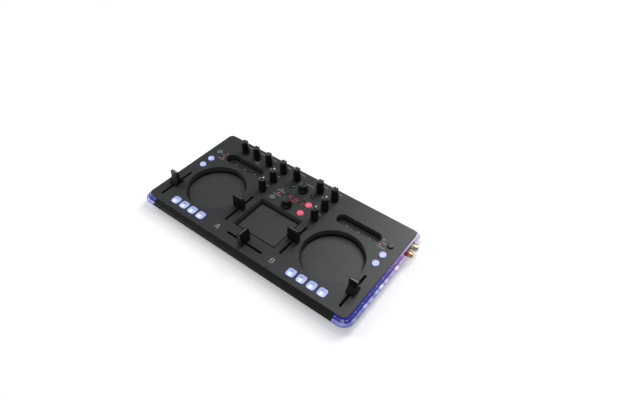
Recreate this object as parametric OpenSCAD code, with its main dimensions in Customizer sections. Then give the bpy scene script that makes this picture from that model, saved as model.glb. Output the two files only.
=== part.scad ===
// Two-deck touch DJ controller: thin top case with touch wells, knobs, faders
// and lit buttons, glowing side light guides, and a low tub with feet.
// Millimetres. +X to the player's right, +Y to the back edge, +Z up.
// z = 0 is the table under the rubber feet.

/* [Body] */
// width of the top plate, left to right
plate_w = 368; // [350:1:390]
// depth of the top plate, front to back
plate_d = 183; // [176:1:196]
// height of the plate's top face above the table
plate_z = 22.5; // [21.5:0.5:28]
// thickness of the top plate
plate_t = 2.0; // [1.6:0.1:2.6]
// corner radius of the plate seen from above
corner_r = 8; // [6:0.5:12]
// how far the skirt flares out past the plate's edge
flare = 8; // [6:0.5:10]
// height of the rubber feet below the tub
foot_h = 2; // [1.5:0.5:4]
// radius of a rubber foot
foot_r = 6; // [4:0.5:9]

/* [Touch wheels] */
// distance of each wheel's centre in from the plate's side edge
wheel_in = 72.7; // [70:0.1:76]
// fore-and-aft place of the wheels' centres
wheel_y = -19; // [-20:0.5:-17]
// radius of the wheel well at the plate
wheel_r = 46.7; // [38:0.5:47]
// gap between the touch disc and the foot of its well's wall
disc_gap = 1.8; // [1:0.1:3]
// depth of the touch discs and strips below the plate
well_depth = 9.6; // [7:0.2:10]

/* [Touch strips and pad] */
// fore-and-aft place of the touch strips
strip_y = 45.3; // [44:0.5:46]
// half length of a touch strip's well
strip_half = 37.8; // [30:0.5:39]
// radius of the rounded ends of a strip's well
strip_r = 10; // [8:0.5:10]
// half width of the touch pad's well
pad_half_w = 39.7; // [34:0.5:40]
// half depth of the touch pad's well
pad_half_d = 32.5; // [28:0.5:33]
// fore-and-aft place of the touch pad's centre
pad_y = -26.4; // [-28:0.2:-26]
// depth of the touch pad below the plate
pad_depth = 6.1; // [4:0.1:8]

/* [Knobs] */
// height of a tall knob's top above the plate
knob_h = 23.4; // [16:0.2:26]
// radius of a tall knob at its foot
knob_r = 6.4; // [5:0.1:7]
// radius of a tall knob at its top
knob_top_r = 5.1; // [4:0.1:6]
// distance of the tone columns from the middle
column_x = 50.2; // [48:0.2:52]
// distance of the gain knobs from the middle
gain_x = 22.8; // [21:0.2:25]
// distance of the back row of knobs in from the back edge
row_in = 20.9; // [18:0.1:24]
// spacing of the knob rows
row_step = 25.4; // [22:0.2:26]
// height of an encoder knob above the plate
dial_h = 13.1; // [9:0.1:16]
// radius of an encoder knob at its foot
dial_r = 8.7; // [7:0.1:9.4]
// radius of every control shaft
shaft_r = 3.0; // [2.5:0.1:3.2]

/* [Faders] */
// distance of the level faders from the middle
level_x = 51.8; // [50.5:0.2:53]
// distance of the pitch faders in from the plate's side edge
pitch_in = 17.6; // [17:0.1:18.5]
// length of every fader slot
slot_len = 61; // [50:0.5:63]
// width of every fader slot
slot_w = 4; // [3:0.1:4.6]
// height of a fader cap above the plate
cap_h = 23; // [16:0.5:26]
// width of a level or cross fader cap
cap_w = 18.5; // [14:0.5:19]

/* [Buttons] */
// side of a square pad button
pad_side = 12.6; // [12:0.1:13.5]
// gap between neighbouring square pad buttons
pad_gap = 4.6; // [3.8:0.1:5]
// height of a square pad button's top above the plate
pad_h = 2.2; // [0.8:0.1:3]
// radius of a round button
button_r = 4.9; // [4.6:0.1:5.8]
// height of a round button's top above the plate
button_h = 2.4; // [0.8:0.1:3]
// radius of a domed load button
load_r = 4.2; // [3.4:0.1:4.6]
// travel of a button when pressed
press = 0.4; // [0.3:0.05:0.5]

/* [Sockets] */
// radius of an audio barrel
barrel_r = 4.15; // [4.1:0.05:4.2]
// radius of the pin hole in an audio barrel
pin_r = 1.65; // [1.6:0.05:1.8]
// radius of the bore of a headphone or microphone jack
jack_r = 1.8; // [1.75:0.05:1.9]

/* [Fits] */
// gap between a button and its hole
button_gap = 0.35; // [0.3:0.05:0.5]
// running gap between a shaft and its bushing
shaft_gap = 0.05; // [0.02:0.01:0.08]
// gap between neighbouring fixed pieces
seat_gap = 0.3; // [0.2:0.05:0.5]

/* [Hidden] */
$fn = 96;
hw = plate_w / 2;
hd = plate_d / 2;
shift_y = (flare - 1) / 2;
wheel_taper = 1.6;
disc_r = wheel_r - wheel_taper - disc_gap;
strip_taper = 1.2;
strip_gap = 0.4;
touch_taper = 4.4;
touch_gap = 1.1;
wheel_x = hw - wheel_in;
pitch_x = hw - pitch_in;
row_back = hd - row_in;
pad_step = pad_side + pad_gap;
dome_r = 1.5 * load_r;
under = plate_z - plate_t;
base_z = foot_h;
floor_t = 2.2;
floor_z = base_z + floor_t;
board_z = floor_z + 3.0;
board_t = 1.6;
board_top = board_z + board_t;
ledge_z = board_top + 0.3;
well_t = 1.4;
disc_t = 1.4;
strip_t = 1.2;
touch_t = 1.6;
wheel_floor = plate_z - well_depth - disc_t;
strip_floor = plate_z - well_depth + 0.2 - strip_t;
strip_top = strip_floor + strip_t;
touch_floor = plate_z - pad_depth - touch_t;
leg = 17;
rca_y = hd - 28.6;
rca_step = 15.4;
rca_z = ledge_z + 3.1;
rca_out = hw + 11.3;
jack_half = 15.4;
jack_face = hw + 2;
jack_top = ledge_z + 7.6;
guide_in = 5;
back_half = hw - guide_in - seat_gap;
slot_back = 0.4;
level_y = slot_back - slot_len / 2;
pitch_y = 11.1 - hd + slot_len / 2;
cross_y = 15.6 - hd;
stem_l = 6;
stem_t = slot_w - 1.4;
slide_w = 9;
slide_h = 7.5;
slide_l = slot_len + 13;
pot_side = 9.6;
pot_h = 6.8;
bush_top = under - 1.0;
bush_r = shaft_r + shaft_gap + 0.9;
shaft_end = board_top + 3.6;
knob_lift = 0.8;
switch_h = 3.5;
plunger_top = board_top + switch_h + 0.7;
stem_end = plunger_top + press + 0.06;
pad_x0 = wheel_x - 1.5 * pad_step;
pad_row_y = 14.5 - hd;
lit_x = hw - 18.4;
lit_y1 = 5.3;
lit_y2 = 23.5;
shift_btn_y = 44.1;
boss_split = 12.4;
lens_r = 0.95;
lens_gap = 0.05;
screw_r = 1.4;
screw_head_r = 2.7;
boss_r = 4;
window_x0 = -16.6;
window_x1 = 19.0;
window_half = 7.1;
digit_x0 = -8;
digit_step = 10.6;
digit_y = 34;
usb_x = 34 - hw;
usb_w = 12.2;
usb_h = 11;
effect_x = [-wheel_x - 20.7, 4.6 - wheel_x, 30.4 - wheel_x];
button_list = [[-lit_x, lit_y1], [-lit_x, lit_y2], [-lit_x, shift_btn_y],
    [lit_x, lit_y1], [lit_x, lit_y2], [lit_x, shift_btn_y],
    [26.6, 36.3], [26.6, 16], [-27.5, 16], [-18.9, 54.1], [18.9, 54.1]];
// front screws stand midway between the pads and the pitch faders
front_x = (pad_x0 + 3 * pad_step + pad_side / 2 + pitch_x - 3.8) / 2;
screw_list = [[hw - 11, hd - 8.5], [11 - hw, hd - 8.5], [front_x, 10.5 - hd], [-front_x, 10.5 - hd],
    [64, hd - 7.5], [-64, hd - 7.5], [64, 9.5 - hd], [-64, 9.5 - hd]];
foot_x = hw - 34;
foot_y = hd - 21.5;
side_lamp_x = wheel_x + strip_half + 3;
pot_list = [[effect_x[0], row_back], [effect_x[1], row_back], [effect_x[2], row_back],
    [-column_x, row_back], [-column_x, row_back - row_step], [-column_x, row_back - 2 * row_step],
    [column_x, row_back], [column_x, row_back - row_step], [column_x, row_back - 2 * row_step],
    [-gain_x, row_back], [gain_x, row_back]];
dial_list = [[0, 57], [0, 17]];
lamp_list = [[-26.9, 39.8], [-26.9, 30.2],
    [-side_lamp_x - 0.2, strip_y + 3.1], [0.2 - side_lamp_x, strip_y - 7.1],
    [side_lamp_x + 0.2, strip_y + 3.1], [side_lamp_x - 0.2, strip_y - 7.1]];
post_list = [[38 - hw, hd - 31.5], [hw - 38, hd - 31.5], [34 - hw, -8], [hw - 34, -8],
    [0, 7.5 - hd], [0, hd - 11.5]];

// ---------- shared shapes ----------

module box(x0, x1, y0, y1, z0, z1) {
    translate([x0, y0, z0])
        cube([x1 - x0, y1 - y0, z1 - z0]);
}

module centred(x, y, wx, wy, z0, z1) {
    box(x - wx / 2, x + wx / 2, y - wy / 2, y + wy / 2, z0, z1);
}

module drum(x, y, r, z0, z1) {
    translate([x, y, z0])
        cylinder(r = r, h = z1 - z0);
}

module rounded_block(wx, wy, r, z0, z1) {
    box(-wx / 2 + r, wx / 2 - r, -wy / 2, wy / 2, z0, z1);
    box(-wx / 2, wx / 2, -wy / 2 + r, wy / 2 - r, z0, z1);
    for (sx = [-1, 1], sy = [-1, 1])
        drum(sx * (wx / 2 - r), sy * (wy / 2 - r), r, z0, z1);
}

// a section [out, up] swept along one straight edge
module edge_run(section, reach, length) {
    translate([reach, 0, 0])
        rotate([90, 0, 0])
            linear_extrude(height = length, center = true)
                polygon(section);
}

// the same section swept round a corner of the plate
module edge_corner(section, x, y, turn) {
    translate([x, y, 0])
        rotate([0, 0, turn])
            rotate_extrude(angle = 90)
                translate([corner_r, 0])
                    polygon(section);
}

module edge_ring(section) {
    edge_run(section, hw, plate_d - 2 * corner_r);
    rotate([0, 0, 180])
        edge_run(section, hw, plate_d - 2 * corner_r);
    rotate([0, 0, 90])
        edge_run(section, hd, plate_w - 2 * corner_r);
    rotate([0, 0, 270])
        edge_run(section, hd, plate_w - 2 * corner_r);
    edge_corner(section, hw - corner_r, hd - corner_r, 0);
    edge_corner(section, corner_r - hw, hd - corner_r, 90);
    edge_corner(section, corner_r - hw, corner_r - hd, 180);
    edge_corner(section, hw - corner_r, corner_r - hd, 270);
}

module at_plate() {
    translate([0, shift_y, 0])
        children();
}

// ---------- top case ----------

module plate_blank() {
    rounded_block(plate_w - 10, plate_d - 10, corner_r - 5, under, plate_z);
    edge_ring([[-8, under], [0, under], [0, plate_z - 0.5], [-0.5, plate_z], [-8, plate_z]]);
}

module strip_shape(side, grow_top, grow_low, z0, z1) {
    c = strip_half - strip_r;
    for (dx = [-c, c])
        translate([side * wheel_x + dx, strip_y, z0])
            cylinder(r1 = strip_r + grow_low, r2 = strip_r + grow_top, h = z1 - z0);
    translate([side * wheel_x, strip_y, 0])
        rotate([90, 0, 90])
            linear_extrude(height = 2 * c, center = true)
                polygon([[-strip_r - grow_low, z0], [strip_r + grow_low, z0],
                    [strip_r + grow_top, z1], [-strip_r - grow_top, z1]]);
}

module touch_well(low, z0, z1) {
    intersection() {
        translate([0, pad_y, 0])
            rotate([90, 0, 0])
                linear_extrude(height = 4 * pad_half_d, center = true)
                    polygon([[-pad_half_w + low, z0], [pad_half_w - low, z0],
                        [pad_half_w, z1], [-pad_half_w, z1]]);
        translate([0, pad_y, 0])
            rotate([90, 0, 90])
                linear_extrude(height = 4 * pad_half_w, center = true)
                    polygon([[-pad_half_d + low, z0], [pad_half_d - low, z0],
                        [pad_half_d, z1], [-pad_half_d, z1]]);
    }
}

module top_case() {
    color([0.07, 0.07, 0.075])
    at_plate()
    difference() {
        union() {
            plate_blank();
            for (s = [-1, 1]) {
                drum(s * wheel_x, wheel_y, wheel_r + well_t, wheel_floor - well_t, under + 0.5);
                strip_shape(s, well_t, well_t, strip_floor - well_t, under + 0.5);
            }
            centred(0, pad_y, 2 * (pad_half_w + well_t), 2 * (pad_half_d + well_t),
                touch_floor - well_t, under + 0.5);
            for (p = screw_list)
                drum(p[0], p[1], boss_r - 0.4, boss_split, under + 0.5);
        }
        for (s = [-1, 1]) {
            drum(s * wheel_x, wheel_y, wheel_r - wheel_taper, wheel_floor, wheel_floor + disc_t + 0.2);
            translate([s * wheel_x, wheel_y, wheel_floor + disc_t + 0.2])
                cylinder(r1 = wheel_r - wheel_taper, r2 = wheel_r, h = well_depth - 0.2 + 0.001);
            strip_shape(s, 0, -strip_taper, strip_floor, plate_z + 0.001);
            for (k = [0 : 3])
                at_pad(s, k)
                    rounded_block(pad_side + 2 * button_gap, pad_side + 2 * button_gap, 3.2 + button_gap,
                        under - 1, plate_z + 1);
            centred(s * level_x, level_y, slot_w, slot_len, under - 1, plate_z + 1);
            centred(s * pitch_x, pitch_y, slot_w, slot_len, under - 1, plate_z + 1);
        }
        centred(0, cross_y, slot_len + 3.6, slot_w, under - 1, plate_z + 1);
        touch_well(touch_taper, touch_floor, plate_z + 0.001);
        for (k = [0 : len(button_list) - 1])
            drum(button_list[k][0], button_list[k][1], (k < 9 ? button_r : load_r) + button_gap,
                under - 1, plate_z + 1);
        for (p = pot_list)
            drum(p[0], p[1], shaft_r + 0.6, under - 1, plate_z + 1);
        for (p = dial_list)
            drum(p[0], p[1], shaft_r + 0.6, under - 1, plate_z + 1);
        for (p = lamp_list)
            drum(p[0], p[1], lens_r + lens_gap, under - 1, plate_z + 1);
        box(window_x0 - seat_gap, window_x1 + seat_gap, digit_y - window_half - seat_gap,
            digit_y + window_half + seat_gap, under - 1, plate_z + 1);
        for (p = screw_list)
            drum(p[0], p[1], screw_r + 0.05, boss_split - 1, under - 0.5);
    }
}

// ---------- bottom case ----------

// section of the flared skirt, [out, up], open to the inside
guide_section = [[-guide_in, ledge_z], [2.0, ledge_z], [3.0, ledge_z + 0.6], [6.8, ledge_z + 1.8],
    [flare, ledge_z + 2.8], [flare, ledge_z + 3.8], [flare - 0.7, ledge_z + 4.8], [4.5, plate_z - 7.4],
    [0.5, plate_z - 4.0], [-3.0, plate_z - 3.0], [-3.0, under], [-guide_in, under],
    [-guide_in, plate_z - 4.6], [-0.4, plate_z - 5.9], [3.4, plate_z - 9.2], [5.7, ledge_z + 3.3],
    [2.3, ledge_z + 2.2], [-guide_in, ledge_z + 2.0]];

module bottom_case() {
    color([0.03, 0.03, 0.03])
    at_plate()
    difference() {
        union() {
            rounded_block(plate_w - 13, plate_d - 13, 1.5, base_z, floor_z);
            edge_ring([[-8, base_z], [-6, base_z], [-2, base_z + 4], [-2, ledge_z], [-4.4, ledge_z],
                [-4.4, floor_z], [-8, floor_z]]);
            // black stretch of the flared skirt along the front
            rotate([0, 0, 270])
                edge_run([[-4.4, ledge_z - 1.2], [-2, ledge_z - 1.2], [3.0, ledge_z + 0.6],
                    [6.8, ledge_z + 1.8], [flare, ledge_z + 2.8], [flare, ledge_z + 3.8],
                    [flare - 0.7, ledge_z + 4.8], [4.5, plate_z - 7.4], [0.5, plate_z - 4.0],
                    [-3.0, plate_z - 3.0], [-3.0, under],
                    [-guide_in, under], [-guide_in, plate_z - 4.6], [-0.4, plate_z - 5.9],
                    [3.4, plate_z - 9.2], [5.7, ledge_z + 3.3], [2.3, ledge_z + 2.2],
                    [-4.4, ledge_z + 1.4]],
                    hd, 2 * (hw - leg - seat_gap));
            // flat back wall
            box(-back_half, back_half, hd - 1.4, hd + 1, ledge_z - 2, under);
            box(-back_half, back_half, hd - 4.4, hd - 1, ledge_z - 2, ledge_z);
            for (p = screw_list)
                drum(p[0], p[1], boss_r, floor_z - 0.5, boss_split);
            for (p = post_list)
                drum(p[0], p[1], 3, floor_z - 0.5, board_z);
        }
        for (p = screw_list) {
            drum(p[0], p[1], screw_head_r + seat_gap, base_z - 1, base_z + 2.4);
            drum(p[0], p[1], screw_r + seat_gap, base_z, boss_split + 1);
        }
        for (sx = [-1, 1], sy = [-1, 1])
            drum(sx * foot_x, sy * foot_y, foot_r + 0.1, base_z - 1, base_z + 0.8);
        centred(usb_x, hd, usb_w + 2 * seat_gap, 12, board_top - 0.3, board_top + usb_h + seat_gap);
        // cooling slots in the underside
        for (k = [-5 : 5])
            centred(k * 7, 30, 2.4, 26, base_z - 1, floor_z + 1);
    }
}

// ---------- light guides ----------

module light_guide() {
    difference() {
        union() {
            intersection() {
                edge_run_from(guide_section, hw, corner_r - hd, hd + 1);
                rounded_tail();
            }
            edge_corner(guide_section, hw - corner_r, corner_r - hd, 270);
            rotate([0, 0, 270])
                edge_run_between(guide_section, hd, hw - leg, hw - corner_r);
        }
        // pocket for the sockets
        box(hw - 12, hw + 20, rca_y - jack_half - seat_gap, rca_y + jack_half + seat_gap,
            ledge_z - 1, jack_top + seat_gap);
        box(hw + 1.6, hw + 20, rca_y - jack_half - seat_gap, rca_y + jack_half + seat_gap,
            ledge_z - 1, plate_z);
    }
}

module edge_run_from(section, reach, y0, y1) {
    translate([0, (y0 + y1) / 2, 0])
        edge_run(section, reach, y1 - y0);
}

// along the front, measured by the distance x from the middle
module edge_run_between(section, reach, x0, x1) {
    translate([0, (x0 + x1) / 2, 0])
        edge_run(section, reach, x1 - x0);
}

module rounded_tail() {
    box(0, hw + flare - 8.5, 0 - hd, hd + 1, 0, plate_z);
    box(0, hw + flare, 0 - hd, hd - 7.5, 0, plate_z);
    drum(hw + flare - 8.5, hd - 7.5, 8.5, 0, plate_z);
}

module light_guide_right() {
    color([0.45, 0.42, 0.95])
    at_plate()
    light_guide();
}

module light_guide_left() {
    color([0.45, 0.42, 0.95])
    at_plate()
    mirror([1, 0, 0])
        light_guide();
}

// ---------- touch surfaces ----------

module touch_wheel(side) {
    color([0.10, 0.10, 0.105])
    at_plate()
    translate([side * wheel_x, wheel_y, wheel_floor]) {
        cylinder(r = disc_r, h = disc_t - 0.4);
        translate([0, 0, disc_t - 0.4])
            cylinder(r1 = disc_r, r2 = disc_r - 0.4, h = 0.4);
    }
}

module touch_wheel_a() {
    touch_wheel(-1);
}

module touch_wheel_b() {
    touch_wheel(1);
}

module touch_strip(side) {
    color([0.10, 0.10, 0.105])
    at_plate()
    difference() {
        strip_shape(side, -strip_taper - strip_gap, -strip_taper - strip_gap, strip_floor, strip_top);
        for (dx = [-20, 0, 20])
            drum(side * wheel_x + dx, strip_y, lens_r + lens_gap, strip_floor - 1, strip_top + 1);
    }
}

module touch_strip_a() {
    touch_strip(-1);
}

module touch_strip_b() {
    touch_strip(1);
}

module touch_pad() {
    color([0.11, 0.11, 0.115])
    at_plate()
    translate([0, pad_y, 0])
        rounded_block(2 * (pad_half_w - touch_taper - touch_gap),
            2 * (pad_half_d - touch_taper - touch_gap), 1.0, touch_floor, touch_floor + touch_t);
}

// ---------- display and electronics ----------

module display_window() {
    color([0.05, 0.02, 0.02, 0.6])
    at_plate()
    box(window_x0, window_x1, digit_y - window_half, digit_y + window_half, plate_z - 1.2, plate_z);
}

module digit(x) {
    w = 5.6;
    h = 10;
    t = 1.1;
    translate([x, digit_y, plate_z - 2.4]) {
        for (k = [-1, 0, 1])
            translate([-w / 2 + 0.7, k * (h / 2 - t / 2) - t / 2, 0])
                cube([w - 1.4, t, 1.1]);
        for (sx = [-1, 1], sy = [-1, 1])
            translate([sx * (w / 2 - t / 2) - t / 2, sy * h / 4 - (h / 2 - 1.5) / 2, 0])
                cube([t, h / 2 - 1.5, 1.1]);
    }
}

module display_digits() {
    color([0.55, 0.06, 0.08])
    at_plate() {
        box(window_x0 + 1.1, window_x1 - 0.5, digit_y - window_half + 0.7, digit_y + window_half - 0.7,
            board_top, plate_z - 2.3);
        for (k = [0 : 2])
            digit(digit_x0 + k * digit_step);
    }
}

module main_board() {
    color([0.05, 0.22, 0.12])
    at_plate()
    difference() {
        union() {
            centred(0, 0, plate_w - 18, plate_d - 12, board_z, board_top);
            // side lamps that feed the light guides
            for (s = [-1, 1], k = [0 : 7])
                centred(s * (hw - 10.6), -66 + k * 15, 2.6, 4, board_top - 0.3, board_top + 1.8);
            // chips and a row of capacitors in the free space at the back
            centred(-6, 71, 12, 12, board_top - 0.3, board_top + 1.4);
            centred(128, 74, 9, 9, board_top - 0.3, board_top + 1.2);
            centred(98, 74, 14, 8, board_top - 0.3, board_top + 1.6);
            drum(76, 63, 2.5, board_top - 0.3, board_top + 6);
            drum(120, 64, 2.5, board_top - 0.3, board_top + 6);
            drum(136, 64, 2.5, board_top - 0.3, board_top + 6);
        }
        for (p = screw_list)
            drum(p[0], p[1], boss_r + 0.6, board_z - 1, board_top + 1);
    }
}

module rotary_pots() {
    color([0.35, 0.36, 0.38])
    at_plate()
    for (p = pot_list)
        difference() {
            union() {
                centred(p[0], p[1], pot_side, pot_side, board_top, board_top + pot_h);
                drum(p[0], p[1], bush_r, board_top + pot_h - 0.5, bush_top);
            }
            drum(p[0], p[1], shaft_r + shaft_gap, shaft_end - 0.6, bush_top + 1);
        }
}

module encoders() {
    color([0.40, 0.41, 0.43])
    at_plate()
    for (p = dial_list)
        difference() {
            union() {
                centred(p[0], p[1], 12, 12, board_top, board_top + pot_h);
                drum(p[0], p[1], bush_r, board_top + pot_h - 0.5, bush_top);
            }
            drum(p[0], p[1], shaft_r + shaft_gap, shaft_end - 0.6, bush_top + 1);
        }
}

module slide_pot(x, y, turn, span) {
    translate([x, y, 0])
        rotate([0, 0, turn])
            difference() {
                centred(0, 0, slide_w, span + 12, board_top, board_top + slide_h);
                centred(0, 0, stem_t + 1.0, span, board_top + 3.4, board_top + slide_h + 1);
            }
}

module slide_pots() {
    color([0.30, 0.31, 0.33])
    at_plate() {
        for (s = [-1, 1]) {
            slide_pot(s * level_x, level_y, 0, slot_len);
            slide_pot(s * pitch_x, pitch_y, 0, slot_len);
        }
        slide_pot(0, cross_y, 90, slot_len + 3.6);
    }
}

module button_switch(x, y) {
    centred(x, y, 6, 6, board_top, board_top + switch_h);
    drum(x, y, 1.7, board_top + switch_h - 0.2, plunger_top);
}

module button_switches() {
    color([0.16, 0.16, 0.17])
    at_plate() {
        for (p = button_list)
            button_switch(p[0], p[1]);
        for (s = [-1, 1], k = [0 : 3])
            button_switch(s * (pad_x0 + k * pad_step), pad_row_y);
    }
}

module indicator_lamps() {
    color([0.9, 0.25, 0.25])
    at_plate() {
        for (p = lamp_list)
            drum(p[0], p[1], lens_r, board_top, plate_z + 0.1);
        for (s = [-1, 1], dx = [-20, 0, 20])
            drum(s * wheel_x + dx, strip_y, lens_r, strip_floor, strip_top + 0.1);
    }
}

// ---------- sockets ----------

module rca_sockets() {
    color([0.75, 0.62, 0.30])
    at_plate()
    difference() {
        union() {
            box(hw - 14, jack_face, rca_y - jack_half, rca_y + jack_half, ledge_z, jack_top);
            // face plate, deep enough to carry the whole foot of each barrel
            box(hw - 1.4, jack_face, rca_y - jack_half, rca_y + jack_half, ledge_z - 1.5, ledge_z + 1);
            for (s = [-1, 1])
                translate([jack_face - 1, rca_y + s * rca_step / 2, rca_z])
                    rotate([0, 90, 0])
                        cylinder(r = barrel_r, h = rca_out - jack_face + 1);
        }
        for (s = [-1, 1])
            translate([jack_face - 5, rca_y + s * rca_step / 2, rca_z])
                rotate([0, 90, 0])
                    cylinder(r = pin_r, h = 30);
    }
}

module mini_jack(y) {
    mirror([1, 0, 0])
        difference() {
            union() {
                box(hw - 10, jack_face, y - 7.5, y + 7.5, ledge_z, jack_top);
                translate([jack_face - 1, y, rca_z])
                    rotate([0, 90, 0])
                        cylinder(r = 3.0, h = 2.2);
            }
            translate([jack_face - 10.5, y, rca_z])
                rotate([0, 90, 0])
                    cylinder(r = jack_r, h = 30);
        }
}

module phones_jack() {
    color([0.10, 0.10, 0.10])
    at_plate()
    mini_jack(rca_y + 7.8);
}

module mic_jack() {
    color([0.12, 0.12, 0.12])
    at_plate()
    mini_jack(rca_y - 7.8);
}

module usb_socket() {
    color([0.55, 0.56, 0.58])
    at_plate()
    difference() {
        centred(usb_x, hd - 6.6, usb_w, 15, board_top, board_top + usb_h);
        centred(usb_x, hd - 2.6, 8.6, 9, board_top + 1.6, board_top + usb_h - 1.6);
    }
}

// ---------- screws and feet ----------

module case_screws() {
    color([0.40, 0.41, 0.42])
    at_plate()
    for (p = screw_list)
        difference() {
            union() {
                drum(p[0], p[1], screw_head_r, base_z + 0.5, base_z + 2.4);
                drum(p[0], p[1], screw_r, base_z + 2, under - 1.2);
            }
            centred(p[0], p[1], 3, 0.7, base_z, base_z + 1.5);
            centred(p[0], p[1], 0.7, 3, base_z, base_z + 1.5);
        }
}

module rubber_feet() {
    color([0.09, 0.09, 0.09])
    at_plate()
    for (sx = [-1, 1], sy = [-1, 1]) {
        drum(sx * foot_x, sy * foot_y, foot_r, 0.6, base_z + 0.8);
        translate([sx * foot_x, sy * foot_y, 0])
            cylinder(r1 = foot_r - 0.6, r2 = foot_r, h = 0.6);
    }
}

// ---------- knobs ----------

module tall_knob(x, y) {
    color([0.035, 0.035, 0.038])
    at_plate()
    translate([x, y, plate_z + knob_lift]) {
        difference() {
            union() {
                cylinder(r1 = knob_r, r2 = knob_r - 0.5, h = (knob_h - knob_lift) * 0.62);
                translate([0, 0, (knob_h - knob_lift) * 0.62])
                    cylinder(r1 = knob_r - 0.5, r2 = knob_top_r, h = (knob_h - knob_lift) * 0.38);
            }
            // dished finger rest and a pointer groove
            translate([0, 0, knob_h - knob_lift - 0.7])
                cylinder(r1 = knob_top_r - 1.4, r2 = knob_top_r - 0.7, h = 0.8);
            translate([-0.4, knob_top_r - 1.0, knob_h - knob_lift - 3.2])
                cube([0.8, 3, 4]);
        }
        translate([0, 0, shaft_end - plate_z - knob_lift])
            cylinder(r = shaft_r, h = plate_z + knob_lift - shaft_end + 0.5);
    }
}

module dial(x, y) {
    color([0.035, 0.035, 0.038])
    at_plate()
    translate([x, y, plate_z + knob_lift]) {
        difference() {
            union() {
                cylinder(r = dial_r, h = 3.0);
                translate([0, 0, 3.0])
                    cylinder(r1 = dial_r, r2 = dial_r - 1.8, h = 3.4);
                translate([0, 0, 6.4])
                    cylinder(r1 = dial_r - 1.8, r2 = dial_r - 2.6, h = dial_h - knob_lift - 6.4);
            }
            translate([0, 0, dial_h - knob_lift - 0.5])
                cylinder(r1 = dial_r - 4.0, r2 = dial_r - 3.4, h = 0.6);
        }
        translate([0, 0, shaft_end - plate_z - knob_lift])
            cylinder(r = shaft_r, h = plate_z + knob_lift - shaft_end + 0.5);
    }
}

module effect_knob_1() {
    tall_knob(effect_x[0], row_back);
}

module effect_knob_2() {
    tall_knob(effect_x[1], row_back);
}

module effect_knob_3() {
    tall_knob(effect_x[2], row_back);
}

module gain_knob_a() {
    tall_knob(-gain_x, row_back);
}

module high_knob_a() {
    tall_knob(-column_x, row_back);
}

module mid_knob_a() {
    tall_knob(-column_x, row_back - row_step);
}

module low_knob_a() {
    tall_knob(-column_x, row_back - 2 * row_step);
}

module gain_knob_b() {
    tall_knob(gain_x, row_back);
}

module high_knob_b() {
    tall_knob(column_x, row_back);
}

module mid_knob_b() {
    tall_knob(column_x, row_back - row_step);
}

module low_knob_b() {
    tall_knob(column_x, row_back - 2 * row_step);
}

module browse_knob() {
    dial(dial_list[0][0], dial_list[0][1]);
}

module program_knob() {
    dial(dial_list[1][0], dial_list[1][1]);
}

// ---------- fader caps ----------

// upright paddle; its broad face is across the slot, travel along Y
module paddle() {
    intersection() {
        rotate([90, 0, 90])
            linear_extrude(height = cap_w, center = true)
                polygon([[-3.5, knob_lift], [3.5, knob_lift], [3.5, 3], [2.5, cap_h - 1.4],
                    [1.8, cap_h], [-1.8, cap_h], [-2.5, cap_h - 1.4], [-3.5, 3]]);
        rotate([90, 0, 0])
            translate([0, (cap_h + knob_lift) / 2, 0])
                rounded_block(cap_w, cap_h - knob_lift, 1.6, -6, 6);
    }
    cap_stem();
}

module cap_stem() {
    centred(0, 0, stem_t, stem_l, board_top + 4.4 - plate_z, knob_lift + 1);
}

// stepped cap: narrow ridge with hollow ramps before and behind it
module ramp_cap() {
    difference() {
        centred(0, 0, 13, 16.8, knob_lift, cap_h);
        for (s = [-1, 1])
            translate([0, s * 21.2, 17])
                rotate([0, 90, 0])
                    cylinder(r = 19, h = 20, center = true);
        for (s = [-1, 1])
            centred(0, s * 7.2, 20, 10, 17, cap_h + 1);
    }
    cap_stem();
}

module fader_cap(x, y) {
    color([0.04, 0.04, 0.043])
    at_plate()
    translate([x, y, plate_z])
        children();
}

module level_cap_a() {
    fader_cap(-level_x, level_y)
        paddle();
}

module level_cap_b() {
    fader_cap(level_x, level_y)
        paddle();
}

module cross_cap() {
    fader_cap(0, cross_y)
        rotate([0, 0, 90])
            paddle();
}

module pitch_cap_a() {
    fader_cap(-pitch_x, pitch_y)
        ramp_cap();
}

module pitch_cap_b() {
    fader_cap(pitch_x, pitch_y)
        ramp_cap();
}

// ---------- buttons ----------

module at_pad(side, k) {
    translate([side * (pad_x0 + k * pad_step), pad_row_y, 0])
        children();
}

module pad_button(side, k) {
    color([0.72, 0.76, 1.0])
    at_plate()
    at_pad(side, k) {
        rounded_block(pad_side, pad_side, 3.2, under - 0.4, plate_z + pad_h - 0.5);
        rounded_block(pad_side - 1, pad_side - 1, 2.7, plate_z + pad_h - 0.6, plate_z + pad_h);
        centred(0, 0, pad_side + 1.6, pad_side + 1.6, under - 1.5, under - press / 2);
        drum(0, 0, 1.6, stem_end, under - 1);
    }
}

module pad_a_1() {
    pad_button(-1, 3);
}

module pad_a_2() {
    pad_button(-1, 2);
}

module pad_a_3() {
    pad_button(-1, 1);
}

module pad_a_4() {
    pad_button(-1, 0);
}

module pad_b_1() {
    pad_button(1, 0);
}

module pad_b_2() {
    pad_button(1, 1);
}

module pad_b_3() {
    pad_button(1, 2);
}

module pad_b_4() {
    pad_button(1, 3);
}

module round_button(k, tint) {
    color(tint)
    at_plate()
    translate([button_list[k][0], button_list[k][1], 0]) {
        drum(0, 0, button_r, under - 0.4, plate_z + button_h - 0.4);
        translate([0, 0, plate_z + button_h - 0.4])
            cylinder(r1 = button_r, r2 = button_r - 0.4, h = 0.4);
        drum(0, 0, button_r + 1, under - 1.5, under - press / 2);
        drum(0, 0, 1.6, stem_end, under - 1);
    }
}

module cue_button_a() {
    round_button(0, [0.72, 0.76, 1.0]);
}

module sync_button_a() {
    round_button(1, [0.72, 0.76, 1.0]);
}

module shift_button_a() {
    round_button(2, [0.35, 0.36, 0.37]);
}

module cue_button_b() {
    round_button(3, [0.72, 0.76, 1.0]);
}

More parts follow.
